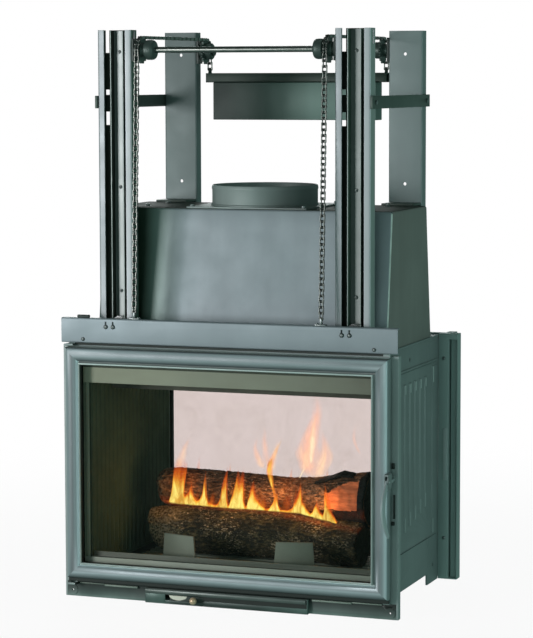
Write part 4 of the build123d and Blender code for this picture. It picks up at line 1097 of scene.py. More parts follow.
b = Build()
b.prism(sprocket_outline(FY, FZ), "x", CX - 2.3, CX + 2.3, 0.35, 1)
b.lathe([(-34.5, 7.2), (-34.5, 16.5), (-33, 20.0), (-30, 22.3), (-26, 23), (-16, 23), (-12.5, 22), (-11, 19.5), (-10, 15), (-5.8, 15), (-2.2, 17)], "x", CX, FY, FZ, 48)
b.lathe([(2.2, 17), (8.4, 17), (9.4, 16), (9.4, 7.2)], "x", CX, FY, FZ, 40)
b.lathe([(0, 2.6), (1.2, 2.6), (1.2, 1.3), (0.3, 1.2)], "y", CX - 21, FY - 23.9, FZ, 12)     # grub screw
b.mirrored()
b.make("sprocket_front_pair", M["sprocket"], "lift_shaft", ("front_sprockets",))

for s, nm in ((1, "right"), (-1, "left")):
    b = Build()
    b.prism(sprocket_outline(RY, RZ), "x", CX - 2.3, CX + 2.3, 0.35, 1)
    b.lathe([(-19, 7.4), (-19, 17), (-17.6, 19.2), (-16, 20), (-2.2, 20)], "x", CX, RY, RZ, 40)
    b.lathe([(2.2, 15), (12.6, 15), (13.4, 14), (13.4, 7.4)], "x", CX, RY, RZ, 36)
    if s < 0:
        b.bm.transform(Matrix.Scale(-1, 4, (1, 0, 0)))
        bmesh.ops.reverse_faces(b.bm, faces=b.bm.faces)
    b.make("sprocket_rear_" + nm, M["sprocket"], "rear_sprocket_" + nm, ("rear_sprocket_" + nm,))

b = Build()
b.lathe([(-246.8, 6.2), (-246.0, 7.0), (246.0, 7.0), (246.8, 6.2)], "x", 0, FY, FZ, 40)
b.make("shaft_bar", M["shaft"], "lift_shaft", ("lift_shaft",))


# ---------------------------------------------------------------------
# Screws and bolts
# ---------------------------------------------------------------------
def pan_screw(b, x, y, z, r=4.5, h=2.6):
    """Pan head standing towards -Y, with a cross recess."""
    prof = [(0.0, r), (-0.6, r), (-h * 0.62, r * 0.90), (-h * 0.86, r * 0.70), (-h, r * 0.45), (-h, r * 0.12)]
    b.lathe(prof, "y", x, y, z, 24)
    for a, c in ((r * 0.55, 0.55), (0.55, r * 0.55)):
        b.box(x - a, x + a, y - h - 0.05, y - h * 0.55, z - c, z + c, 0.1, 1, 1)


# beam screws: dark heads with the cross in light paint as their glint: painted highlight
b = Build()
for x, z in ((-297, 641), (-279, 641), (279, 641), (297, 641)):
    pan_screw(b, x, -10.4, z, 5.4, 2.9)
for x in (-355, 355):
    pan_screw(b, x, -10.4, 611, 4.6, 2.6)
b.make("beam_screws", [M["screw_dark"], M["web"]], "door_carriage", ("carriage_screws",))

b = Build()
for s in (-1, 1):
    for z in (1275, 962, 720):
        pan_screw(b, s * 289, 64, z, 4.2, 2.2)
    for z, xx in ((540, 375.5), (101, 377)):
        pan_screw(b, s * xx, 478, z, 4.5, 2.6)
for (y, z, x0) in ((244, 561, 361), (60, 561, 361), (433, 42, 362), (60, 70, 361)):
    for s in (-1, 1):
        b.lathe([(0, 4.2), (s * 0.6, 4.2), (s * 1.6, 3.6), (s * 2.2, 2.4), (s * 2.4, 0.6)], "x", s * x0, y, z, 20)
b.make("casing_screws", [M["screw"], M["dark"]], "root", ("pan_head_screws",))


def hex_head(b, x, y, z, r=6.0, h=5.0, turn=15):
    pts = [(x + r * math.cos(math.radians(60 * k + turn)), y + r * math.sin(math.radians(60 * k + turn))) for k in range(6)]
    b.prism(pts, "z", z + 0.8, z + h, 0.5, 2)
    b.lathe([(z, r * 1.25), (z + 0.9, r * 1.25)], "z", x, y, 0, 24)
    b.lathe([(z + h - 0.1, r * 0.45), (z + h + 0.0, r * 0.4)], "z", x, y, 0, 16)


b = Build()
for sx in (-1, 1):
    for sy in (-1, 1):
        hex_head(b, sx * 138, MID + sy * 119, 916, 6, 5)
for (x, y) in ((-279, 203), (279, 203), (-279, 330), (279, 330)):
    hex_head(b, x, y, 912, 5.5, 4.5)
for s in (-1, 1):
    for y in (53, 452):
        b.lathe([(s * 0, 5.8), (s * 2.6, 5.8), (s * 3.6, 4.8), (s * 4.0, 3.0)], "x", s * 338, y, 1159.5, 6)
b.make("bolt_heads", M["screw"], "root", ("hex_bolts",))


# ---------------------------------------------------------------------
# Handle: bowed lever
# ---------------------------------------------------------------------
def make_handle(name, body, node, back):
    bm = bmesh.new()
    n, m = 30, 12
    rings = []
    for k in range(n + 1):
        t = k / n
        z = 315.0 - 120.0 * t
        bow = math.sin(math.pi * min(1.0, t * 1.03) ** 0.9)
        yc = -57.5 - 30.0 * bow + 11.5 * t * t
        hw = 2.8 + 1.1 * math.sin(math.pi * t) if t < 0.97 else 2.2      # half width along X
        hd = (6.2 + 5.6 * math.sin(math.pi * min(1.0, t * 1.05)) - 1.8 * t)
        if t > 0.9:
            hd *= math.sqrt(max(0.06, 1 - ((t - 0.9) / 0.1) ** 2))
        # direction of the run, to set the section square to it
        dt = 0.01
        t2 = min(1.0, t + dt)
        b2 = math.sin(math.pi * min(1.0, t2 * 1.03) ** 0.9)
        dy = (-57.5 - 30.0 * b2 + 11.5 * t2 * t2) - yc
        dz = -120.0 * (t2 - t) if t2 > t else -1.2
        d = Vector((dy, dz)).normalized() if t2 > t else Vector((0.5, -0.86))
        nrm = Vector((-d.y, d.x))
        ring = []
        for i in range(m):
            a = 2 * math.pi * i / m
            ca, sa = math.cos(a), math.sin(a)
            e = 0.72
            px = hw * math.copysign(abs(ca) ** e, ca)
            pd = hd * math.copysign(abs(sa) ** e, sa)
            ring.append(bm.verts.new(P(399.6 + px, yc + nrm.x * pd, z + nrm.y * pd)))
        rings.append(ring)
    for p, q in zip(rings, rings[1:]):
        for i in range(m):
            bm.faces.new((p[i], p[(i + 1) % m], q[(i + 1) % m], q[i]))
    bm.faces.new(rings[0][::-1])
    bm.faces.new(rings[-1])
    bmesh.ops.recalc_face_normals(bm, faces=bm.faces)
    b = Build()
    b.bm.free()
    b.bm = bm
    # eye round the pivot and the nose that goes under the stud
    b.lathe([(-4.6, 5.5), (-4.2, 6.6), (0.2, 6.6), (0.8, 5.5)], "x", 400.4, -50, 321, 28)
    b.prism([(-62, 303), (-64, 315), (-58, 326), (-46, 327.5), (-42, 322), (-44, 315), (-52, 303)], "x", 396.2, 400.8, 0.8)
    b.prism([(-46, 315), (-46, 325), (-14, 322.6), (-1.7, 322.6), (-1.7, 317), (-30, 314)], "x", 396.2, 400.8, 0.8)
    b.lathe([(-6, 2.45), (5.2, 2.45)], "x", 399.6, -50, 321, 20)
    if back:
        b.turned()
    return b.make(name, M["lever"], body, (node,), 40.0)


make_handle("lever_front", "front_handle", "front_door_handle", False)
make_handle("lever_rear", "rear_handle", "rear_door_handle", True)

b = Build()
b.box(394.6, 401.5, -6.5, -2.2, 344, 357, 0.8)
b.box(398.6, 402.4, -5.0, -2.2, 231, 286, 0.8)
b.box(394.6, 401.5, -6.0, -2.2, 216, 225, 0.8)
b.make("latch_keeps", M["frame_dark"], "door_carriage")

# ---------------------------------------------------------------------
# Air box with its bar, and the control: knob and bright pointer in the slot
# ---------------------------------------------------------------------
b = Build()
b.box(-202, -152, -12, -10, 0.4, 24.5, 0.7, 2, 1)                    # face left of the slot
b.box(-58, 198, -12, -10, 0.4, 13.0, 0.7, 2, 1)                      # face right of the slot, lower half
b.box(-58, 198, -11.2, -9.6, 12.0, 26.0, 0.3, 1, 2)                  # set back above it
b.box(-152, -58, -12, -10, 0.4, 9, 0.7, 2, 1)
b.box(-152, -58, -12, -10, 21, 25, 0.7, 2, 2)
b.box(-202, 198, -12, 0, 0.0, 2.0, 0.5, 2, 1)
b.box(-202, -200, -12, 0, 0.4, 34, 0.5, 2, 1)
b.box(196, 198, -12, 0, 0.4, 34, 0.5, 2, 1)
b.box(-202, 198, -13.6, 0, 33, 35, 0.7, 2, 0)
b.prism([(-11.6, 22.6), (-13.8, 22.8), (-15.2, 24.0), (-15.9, 26.2), (-16.0, 28.8), (-15.6, 31.4), (-14.6, 33.6), (-13.2, 34.8), (-11.6, 35.0)], "x", -200, 194, 0.4, 2, 0)
b.make("air_box_shell", [M["bar"], M["box_shaded_face"], M["box_dark"]], "root", ("air_box",))
b = Build()
prof = []
for k in range(19):
    a = math.radians(180 * k / 18)
    prof.append((-8.4 * math.cos(a) - 0.0, max(0.4, 8.4 * math.sin(a))))
b.lathe(prof, "y", -76, -28, 15, 36)
b.lathe([(7.0, 4.6), (8.6, 3.8), (10.6, 3.0)], "y", -76, -28, 15, 24)
b.make("knob_ball", M["knob"], "air_control", ("air_knob",))
# pressed beads where the side ribs run out, in light paint as their highlights (painted highlight), and the plate over
# the rear door's upper hinge
b = Build()
for sx in (-1, 1):
    for k in range(8):
        y = 72.0 + 41.0 * k
        low = 146 + 8.5 * max(0, k - 1)
        for z0, z1, tone_no in ((486.0, 507.4, 0), (low + 0.6, low + 34.0, 1)):
            x0, x1 = sorted((sx * 366.2, sx * 367.4))
            b.box(x0, x1, y - 3.6, y + 0.8, z0, z1, 0.5, 2, tone_no)
    x0, x1 = sorted((sx * 364.4, sx * 365.4))
    b.box(x0, x1, 424, 430, 488, 526, 0.4, 2, 0)
    b.box(x0, x1, 424, 430, 123, 158, 0.4, 2, 1)
b.make("rib_beads", [M["pale_mark"], M["pale_mark_soft"]], "root", ())
b = Build()
b.box(374.5, 386.0, 476.4, 478.1, 243, 370, 0.5, 2, 0)
b.make("hinge_plate", [M["pale_mark_soft"]], "root", ())

b = Build()
pts = [(-143.5, 20.4), (-98.0, 20.0)]
for k in range(1, 14):
    t = k / 14
    pts.append((-98.0 - 45.5 * t, 20.0 + 0.4 * t - 10.6 * math.sin(math.pi * (t * 0.94 + 0.03)) ** 0.55))
b.prism(pts, "y", -9.94, -9.62, 0.1, 1)
b.make("pointer_crescent", M["crescent"], "air_control")

# ---------------------------------------------------------------------
# Logs: bark with furrows, sawn ends, one split face
# ---------------------------------------------------------------------
def ridge(v, octaves=4):
    total, amp, norm = 0.0, 1.0, 0.0
    for _ in range(octaves):
        total += amp * (1.0 - abs(noise.noise(v)) * 2.0)
        norm += amp
        v = v * 2.03 + Vector((3.1, 1.7, 5.3))
        amp *= 0.5
    return total / norm


def bark_material(name, deep, mid, high, speck, speck_amount, red=0.0):
    k = Mat(name)
    h = k.attr("bark").outputs["Fac"]
    g = k.attr("glow").outputs["Fac"]
    rough = k.noise(150.0, 5.0, 0.7)
    grain = k.noise(190.0, 4.0, 0.65, k.coords((0.45, 1.0, 1.0)))
    hh = k.math("ADD", k.math("MULTIPLY", h, 0.38), k.math("MULTIPLY", k.span(grain, 0.28, 0.72, 0.0, 1.0), 0.62))
    col = k.ramp(hh, [(0.22, deep), (0.50, mid), (0.86, high)])
    big = k.noise(13.0, 4.0, 0.6)
    col = k.mix(k.span(big, 0.42, 0.66, 0.0, 0.72), col, tuple(c * 0.22 for c in mid))
    sp = k.math("MULTIPLY", k.span(k.noise(260.0, 3.0, 0.65, k.coords((0.6, 1.0, 1.0))), 0.54, 0.66, 0.0, 1.0), k.span(k.noise(23.0, 3.0, 0.6), 0.42, 0.60, 0.0, speck_amount))
    pale = k.attr("pale").outputs["Fac"]
    sp = k.math("MAXIMUM", sp, k.math("MULTIPLY", pale, k.span(k.noise(190.0, 4.0, 0.7), 0.42, 0.60, 0.0, 0.95)))
    col = k.mix(sp, col, speck)
    n = k.bump(rough, 0.9, 0.0016)
    flame_and_ember_glow = k.math("MULTIPLY", g, k.span(k.noise(70.0, 4.0, 0.7), 0.35, 0.7, 0.1, 1.0))
    b = k.principled(**{"Base Color": col, "Roughness": 0.85, "Normal": n})
    em = k.node("ShaderNodeEmission")
    k.link(k.ramp(flame_and_ember_glow, [(0.0, (0.0, 0.0, 0.0)), (0.3, (0.30, 0.045, 0.008)), (0.7, (0.95, 0.22, 0.03)), (1.0, (1.0, 0.50, 0.12))]), em.inputs["Color"])
    em.inputs["Strength"].default_value = 1.0
    ad = k.node("ShaderNodeAddShader")
    k.link(b.outputs[0], ad.inputs[0])
    k.link(em.outputs[0], ad.inputs[1])
    return k.finish(ad.outputs[0])


def wood_material(name, base, dark, glow):
    k = Mat(name)
    rr = k.attr("rings").outputs["Fac"]
    wav = k.math("SINE", k.math("MULTIPLY", k.math("ADD", rr, k.math("MULTIPLY", k.noise(20.0, 2.0, 0.5), 0.08)), 95.0))
    fib = k.noise(90.0, 4.0, 0.65, k.coords((0.12, 1.0, 1.0)))
    col = k.ramp(fib, [(0.3, dark), (0.7, base)])
    col = k.mix(k.span(wav, -1.0, 1.0, 0.0, 0.30), col, dark)
    col = k.mix(k.span(k.noise(14.0, 4.0, 0.6), 0.5, 0.72, 0.0, 0.75), col, tuple(c * 0.2 for c in dark))
    n = k.bump(fib, 0.8, 0.0012)
    b = k.principled(**{"Base Color": col, "Roughness": 0.8, "Normal": n})
    em = k.node("ShaderNodeEmission")
    k.link(k.mix(k.math("MULTIPLY", k.attr("glow").outputs["Fac"], k.span(fib, 0.3, 0.7, 0.25, 1.0)), (0.0, 0.0, 0.0), glow), em.inputs["Color"])
    ad = k.node("ShaderNodeAddShader")
    k.link(b.outputs[0], ad.inputs[0])
    k.link(em.outputs[0], ad.inputs[1])
    return k.finish(ad.outputs[0])


def near_black(v, off):
    """Near-black bark on the right end of the upper log and on its underside there."""
    e = 5 * noise.noise(v / 13.0 + off) + 3 * noise.noise(v / 4.0 + off)
    return v.x > 238 + e + 10 * abs((v.z - 238) / 40.0) ** 2 or (v.x > 150 + e and v.z < 200 + e)


def spline(table, t):
    """Smooth value along a table of (t, value)."""
    for (t0, v0), (t1, v1) in zip(table, table[1:]):
        if t <= t1:
            f = (t - t0) / (t1 - t0)
            return v0 + (v1 - v0) * (f * f * (3 - 2 * f) * 0.5 + f * 0.5)
    return table[-1][1]


def make_log(name, p0, p1, radii, rise, seed, mats, glow, pale, split=None, n=190, m=150, slant=0.0, blunt=7.0, relief=3.4):
    a, b = Vector(p0), Vector(p1)
    ax = (b - a).normalized()
    side = ax.cross(Vector((0, 0, 1))).normalized()
    up = side.cross(ax).normalized()
    length = (b - a).length
    off = Vector((seed * 7.13, seed * 3.7, seed * 1.9))
    verts, bark, glo, pal, rng, on_split = [], [], [], [], [], []
    for i in range(n + 1):
        t = i / n
        c = a.lerp(b, t) + up * spline(rise, t) + side * (2.0 * math.sin(math.pi * t * 1.7 + seed * 2))
        rad = spline(radii, t)
        for j in range(m):
            th = 2 * math.pi * j / m
            cs, sn = math.cos(th), math.sin(th)
            q = Vector((cs * rad, sn * rad, t * length))
            low = noise.noise(Vector((cs * 1.1, sn * 1.1, t * 3.2)) + off)
            w = noise.noise(q / 30.0 + off) * 5.0
            rg = ridge(Vector(((q.x + w) / 7.5, (q.y + w) / 7.5, q.z / 26.0)) + off, 4)
            fine = noise.noise(q / 3.2 + off)
            h = max(0.0, min(1.0, (rg - 0.25) / 0.65))
            rr = rad * (1 + 0.045 * low) + (h - 0.6) * relief + fine * 0.8
            # ends broken and rounded
            e = min(t, 1 - t) * length
            bl = blunt if t < 0.5 else 7.0
            if e < bl:
                rr -= bl * 0.62 * (1 - math.sqrt(max(0.0, 1 - (1 - e / bl) ** 2)))
            d = side * (cs * rr) + up * (sn * rr)
            v = c + d + ax * (noise.noise(Vector((cs * 2, sn * 2, 9.0)) + off) * 5.0 * (1 if t > 0.5 else -1) * max(0.0, 1 - e / 14.0))
            v.x -= slant * (v.z - c.z) * max(0.0, 1 - t * 4.5)
            flag = 0
            if split is not None:
                org, nrm, t_from, t_to = split
                if t_from < t < t_to:
                    k = (v - Vector(org)).dot(Vector(nrm))
                    fade = min(1.0, (t - t_from) * 18.0)
                    wave = 2.2 * noise.noise(v / 16.0 + off) + 0.9 * noise.noise(Vector((v.x / 30.0, v.y / 3.0, v.z / 3.0)) + off)
                    lim = (1 - fade) * 20.0 + wave
                    if k > lim:
                        v = v - Vector(nrm) * (k - lim)
                        flag = 1 if (v.z > 203 + 2 * noise.noise(v / 9.0 + off)) else 2
            verts.append(v)
            bark.append(h)
            glo.append(glow(v) if glow else 0.0)
            pal.append(pale(v, t) if pale else 0.0)
            rng.append(0.0)
            on_split.append(flag)
    faces, mi = [], []
    for i in range(n):
        for j in range(m):
            q = (i * m + j, i * m + (j + 1) % m, (i + 1) * m + (j + 1) % m, (i + 1) * m + j)
            faces.append(q)
            if sum(on_split[x] == 1 for x in q) >= 3:
                mi.append(2)
            elif len(mats) > 3 and (sum(on_split[x] == 2 for x in q) >= 2 or near_black(verts[q[0]], off)):
                mi.append(3)
            else:
                mi.append(0)
    # sawn ends with rings
    for end, sgn in ((0, -1), (n, 1)):
        base = end * m
        cen = sum((verts[base + j] for j in range(m)), Vector()) / m
        prev = [base + j for j in range(m)]
        steps = 12
        for s in range(1, steps):
            f = 1 - s / steps
            cur = []
            for j in range(m):
                v = cen + (verts[base + j] - cen) * f
                v = v + ax * (sgn * (1.5 * noise.noise(v / 14.0 + off) + 0.5 * noise.noise(v / 3.0 + off)) * min(1.0, s / 2.0))
                cur.append(len(verts))
                verts.append(v)
                bark.append(0.4)
                glo.append((glow(v) if glow else 0.0) * 0.5)
                pal.append(0.0)
                rng.append(f)
            for j in range(m):
                faces.append((prev[j], prev[(j + 1) % m], cur[(j + 1) % m], cur[j]))
                mi.append(1 if s > 1 else 0)
            prev = cur
        cidx = len(verts)
        verts.append(cen)
        bark.append(0.4); glo.append(0.0); pal.append(0.0); rng.append(0.0)
        for j in range(m):
            faces.append((prev[j], prev[(j + 1) % m], cidx))
            mi.append(1)
    me = bpy.data.meshes.new(name)
    me.from_pydata([P(v.x, v.y, v.z) for v in verts], [], faces)
    me.polygons.foreach_set("material_index", mi)
    for nm, vals in (("bark", bark), ("glow", glo), ("pale", pal), ("rings", rng)):
        at = me.attributes.new(nm, "FLOAT", "POINT")
        at.data.foreach_set("value", vals)
    bm = bmesh.new()
    bm.from_mesh(me)
    bmesh.ops.recalc_face_normals(bm, faces=bm.faces)
    bm.to_mesh(me)
    bm.free()
    me.update()
    o = link(name, me, mats, "root", (), 60.0)
    return o


bark_low = bark_material("bark_dark", (0.004, 0.004, 0.001), (0.022, 0.019, 0.006), (0.14, 0.11, 0.048), (0.66, 0.53, 0.35), 0.60)
bark_up = bark_material("bark_red", (0.020, 0.009, 0.004), (0.105, 0.045, 0.018), (0.38, 0.20, 0.115), (0.66, 0.46, 0.33), 0.42)
bark_black = bark_material("bark_near_black", (0.001, 0.001, 0.001), (0.003, 0.004, 0.003), (0.012, 0.012, 0.009), (0.03, 0.025, 0.02), 0.15)
wood_low = wood_material("sawn_end_old", (0.032, 0.030, 0.014), (0.012, 0.012, 0.006), (0.05, 0.015, 0.005))
wood_end = wood_material("sawn_end_near_black", (0.006, 0.007, 0.005), (0.002, 0.002, 0.002), (0.01, 0.004, 0.002))
wood_split = wood_material("split_face_warm", (0.90, 0.31, 0.14), (0.26, 0.06, 0.022), (0.22, 0.040, 0.010))


def glow_low(v):
    # a little orange glow along the crest under the flames: ember glow and painted light from the flames
    z = v.z - (191 if v.x < 20 else 191 - (v.x - 20) * 0.115)
    g = max(0.0, 1 - abs(z) / 8.0) * max(0.0, min(1.0, (v.x + 235) / 20.0)) * (1.0 if v.x < 190 else 0.4)
    return 0.30 * g


# orange glow on the upper log under the flame tongues: painted light from the flames
def glow_up(v):
    low = max(0.0, 1 - abs(v.z - 196) / 18.0) * 0.32
    t7 = math.exp(-((v.x - 66) / 26.0) ** 2) * max(0.0, 1 - abs(v.z - 236) / 46.0) * 0.22
    t6 = math.exp(-((v.x + 5) / 22.0) ** 2) * max(0.0, 1 - abs(v.z - 214) / 30.0) * 0.30
    t1 = math.exp(-((v.x + 186) / 18.0) ** 2) * max(0.0, 1 - abs(v.z - 238) / 36.0) * 0.22
    return (low + t7 + t6 + t1) * (1.0 if v.x < 150 else 0.2)


def pale_low(v, t):
    return max(0.0, 1 - t / 0.19) * 0.9


def pale_up(v, t):
    return max(0.0, 1 - t / 0.075) * 0.85 + (0.35 * max(0.0, 1 - abs(v.x - 128) / 34.0) * max(0.0, 1 - abs(v.z - 246) / 34.0))


lo = make_log("log_lower", (-282, 246, 128.5), (260, 205, 122.5), [(0.0, 49), (0.10, 56), (0.30, 57.5), (0.55, 57), (0.80, 53.5), (1.0, 52.5)], [(0.0, 0), (0.25, 3), (0.55, 8), (0.8, 5), (1.0, 0)],
              3, [bark_low, wood_low, wood_split], glow_low, pale_low, slant=0.30, blunt=16.0)
make_log("log_upper", (-275, 264, 226), (266, 258, 223), [(0.0, 43), (0.10, 47.5), (0.45, 46.0), (0.62, 45.5), (0.74, 51), (0.86, 60), (1.0, 68)], [(0.0, 0), (0.35, 0), (0.62, -4), (0.78, -3), (1.0, 0)],
         8, [bark_up, wood_end, wood_split, bark_black], glow_up, pale_up, split=((205, 209, 240), Vector((0.10, -0.985, 0.14)).normalized(), 0.765, 0.968), slant=0.10, blunt=26.0)
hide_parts("logs")

# curled bark over the split face
def curl_of_bark():
    """Thin black edge of bark standing up along the top of the split."""
    bm = bmesh.new()
    n, m = 60, 10
    rows = []
    for i in range(n + 1):
        t = i / n
        x = 118 + 112 * t
        zt = 262 + 30.0 * min(1.0, t * 1.35) - 6.0 * max(0.0, t - 0.8) / 0.2
        row = []
        for j in range(m + 1):
            u = j / m
            y = 226 + 26 * u + 2.5 * noise.noise(Vector((t * 5, u * 4, 2.0))) - 6.0 * math.sin(t * 3.1)
            z = zt - 9.0 * (1 - u) ** 1.5 * (0.7 + 0.5 * noise.noise(Vector((t * 7, 3.0, 1.0)))) + 1.5 * noise.noise(Vector((t * 9, u * 5, 4.0)))
            row.append(bm.verts.new(P(x + 4 * noise.noise(Vector((t * 3, u * 2, 7.0))), y, z)))
        rows.append(row)
    for p, q in zip(rows, rows[1:]):
        for j in range(m):
            bm.faces.new((p[j], p[j + 1], q[j + 1], q[j]))
    bmesh.ops.recalc_face_normals(bm, faces=bm.faces)
    bmesh.ops.solidify(bm, geom=list(bm.faces), thickness=0.0042)
    me = to_mesh(bm, "bark_curl")
    for nm, val in (("bark", 0.45), ("glow", 0.0), ("pale", 0.0)):
        at = me.attributes.new(nm, "FLOAT", "POINT")
        at.data.foreach_set("value", [max(0.0, min(1.0, val + (0.5 * noise.noise(v.co * 90) if nm == "bark" else 0.0))) for v in me.vertices])
    return link("bark_curl", me, [bark_black], "root", (), 60.0)


curl_of_bark()


# ---------------------------------------------------------------------
# Flames
# ---------------------------------------------------------------------
def flame_material(name, stops, strength, dense):
    """Attributes: fire_heat (0 at the tip, 1 at the root) sets the colour, cover (0..1) how much is hidden behind."""
    k = Mat(name)
    heat = k.attr("fire_heat").outputs["Fac"]
    cover = k.attr("cover").outputs["Fac"]
    lick = k.noise(60.0, 3.0, 0.6, k.coords((1.0, 1.0, 0.28)), distort=0.8)
    hh = k.math("ADD", heat, k.span(lick, 0.3, 0.7, -0.24, 0.20))
    em = k.node("ShaderNodeEmission")
    k.link(k.ramp(hh, stops), em.inputs["Color"])
    em.inputs["Strength"].default_value = strength
    tr = k.node("ShaderNodeBsdfTransparent")
    mx = k.node("ShaderNodeMixShader")
    f = k.math("MULTIPLY", cover, k.span(lick, 0.30, 0.58, dense * 0.42, dense))
    k.link(f, mx.inputs[0])
    k.link(tr.outputs[0], mx.inputs[1])
    k.link(em.outputs[0], mx.inputs[2])
    return k.finish(mx.outputs[0])


FIRE = flame_material("flame_bright", [(0.0, (0.80, 0.07, 0.010)), (0.24, (0.95, 0.18, 0.016)), (0.48, (1.0, 0.36, 0.032)), (0.74, (1.0, 0.61, 0.08)), (1.0, (1.0, 0.82, 0.20))], 1.24, 0.98)
FAINT = flame_material("flame_faint", [(0.0, (1.0, 0.45, 0.33)), (0.35, (1.0, 0.50, 0.33)), (0.7, (1.0, 0.66, 0.42)), (1.0, (1.0, 0.82, 0.56))], 1.28, 0.85)


def smooth(a, b, x):
    t = max(0.0, min(1.0, (x - a) / (b - a)))
    return t * t * (3 - 2 * t)


# foot and tip of each stream of the front curtain: x, z at the foot, x, z at the tip
STREAMS = [
    (-227, 200, -227, 201), (-225, 200, -222, 216), (-223, 199, -219, 235), (-220, 199, -217, 260), (-217, 199, -215, 286), (-213, 199, -209, 292),
    (-208, 199, -200, 293), (-203, 198, -190, 291), (-198, 198, -180, 286), (-193, 198, -182, 271), (-190, 198, -189, 249), (-189, 198, -190, 230),
    (-186, 198, -186, 218), (-181, 198, -180, 223), (-176, 198, -175, 233), (-172, 197, -172, 243), (-168, 197, -168, 233), (-163, 197, -163, 217),
    (-155, 197, -155, 207), (-147, 197, -148, 212), (-142, 196, -142, 225), (-138, 196, -138, 247), (-136, 196, -135, 273), (-133, 196, -133, 247),
    (-131, 196, -131, 223), (-126, 196, -126, 207), (-112, 195, -112, 200), (-103, 195, -103, 202), (-97, 195, -97, 212), (-94, 195, -94, 228),
    (-90, 195, -90, 255), (-86, 195, -83, 274), (-82, 195, -79, 283), (-80, 195, -79, 248), (-79, 195, -79, 217), (-76, 195, -76, 200),
    (-72, 195, -71, 204), (-66, 195, -65, 225), (-61, 195, -59, 249), (-54, 195, -52, 281), (-48, 195, -46, 262), (-43, 195, -40, 278),
    (-39, 195, -36, 276), (-38, 195, -36, 241), (-36, 195, -37, 217), (-32, 195, -32, 200), (-27, 195, -27, 205), (-24, 195, -23, 225),
    (-20, 195, -18, 247), (-15, 195, -11, 257), (-10, 195, -7, 235), (-2, 195, -1, 219), (8, 195, 8, 207), (21, 195, 21, 199),
    (29, 194, 31, 201), (37, 194, 40, 216), (43, 194, 44, 233), (48, 194, 48, 234), (52, 194, 51, 210), (60, 194, 58, 198),
    (77, 193, 77, 198), (88, 193, 88, 205), (95, 193, 96, 227), (101, 193, 104, 251), (105, 193, 108, 258), (109, 192, 109, 237),
    (113, 191, 113, 218), (121, 189, 121, 203), (132, 187, 132, 193), (139, 186, 138, 198), (143, 184, 143, 212), (147, 184, 147, 220),
    (151, 183, 151, 209), (156, 182, 156, 197), (163, 181, 163, 192), (168, 180, 167, 205), (169, 180, 166, 231), (172, 179, 165, 257),
    (176, 178, 172, 238), (181, 177, 179, 215), (187, 175, 186, 196), (195, 173, 195, 181), (208, 167, 208, 169)]


def curtain(name, at_y, seed, power=1.0, grow=1.0, shift=0.0, warm=1.0):
    """A sheet of flame with pointed tongues and rounded gaps between them."""
    sub, nz = 6, 26
    cols = []
    for a, b in zip(STREAMS, STREAMS[1:]):
        for k in range(sub):
            f = k / sub
            cols.append(tuple(p + (q - p) * f for p, q in zip(a, b)))
    cols.append(STREAMS[-1])
    tops = [c[3] for c in cols]
    verts, heat, cover = [], [], []
    for i, (bx, bz, tx, tz) in enumerate(cols):
        high = (tz - bz) * grow
        for j in range(nz + 1):
            v = j / nz
            z = bz - 2 + (high + 2) * v
            x = bx + (tx - bx) * v ** 1.5 + shift + 1.2 * v * noise.noise(Vector((bx / 14.0, v * 2.2, seed)))
            up = z - bz
            y = at_y + 4.0 * noise.noise(Vector((bx / 40.0, v * 1.5, seed + 7.0))) + 0.05 * up
            verts.append(P(x, y, z))
            rise = up / max(high, 1.0)
            tall = smooth(14.0, 40.0, high)
            hot = 1.0 - smooth(0.30, 1.0, rise) * (0.62 + 0.25 * tall)
            rim = smooth(0.0, 11.0, high - up)
            heat.append((hot * tall + (1 - tall) * (0.96 - 0.3 * smooth(0.7, 1.0, rise))) * (0.46 + 0.54 * rim) * warm)
            foot = smooth(0.0, 4.0, up + 1.2)
            body = 1.0 - (0.55 * smooth(0.35, 0.95, rise)) * tall
            tip = 1.0 - smooth(0.90 if tall < 0.5 else 0.84, 1.0, rise)
            cover.append(power * foot * body * tip)
    faces = []
    for i in range(len(cols) - 1):
        for j in range(nz):
            a = i * (nz + 1) + j
            faces.append((a, a + nz + 1, a + nz + 2, a + 1))
    me = bpy.data.meshes.new(name)
    me.from_pydata(verts, [], faces)
    for nm, vals in (("fire_heat", heat), ("cover", cover)):
        me.attributes.new(nm, "FLOAT", "POINT").data.foreach_set("value", vals)
    me.update()
    return link(name, me, FIRE, "root")


curtain("flames_front", 194.0, 1.0)
curtain("flames_halo", 197.5, 4.0, power=0.50, grow=1.20, shift=1.0, warm=0.42)


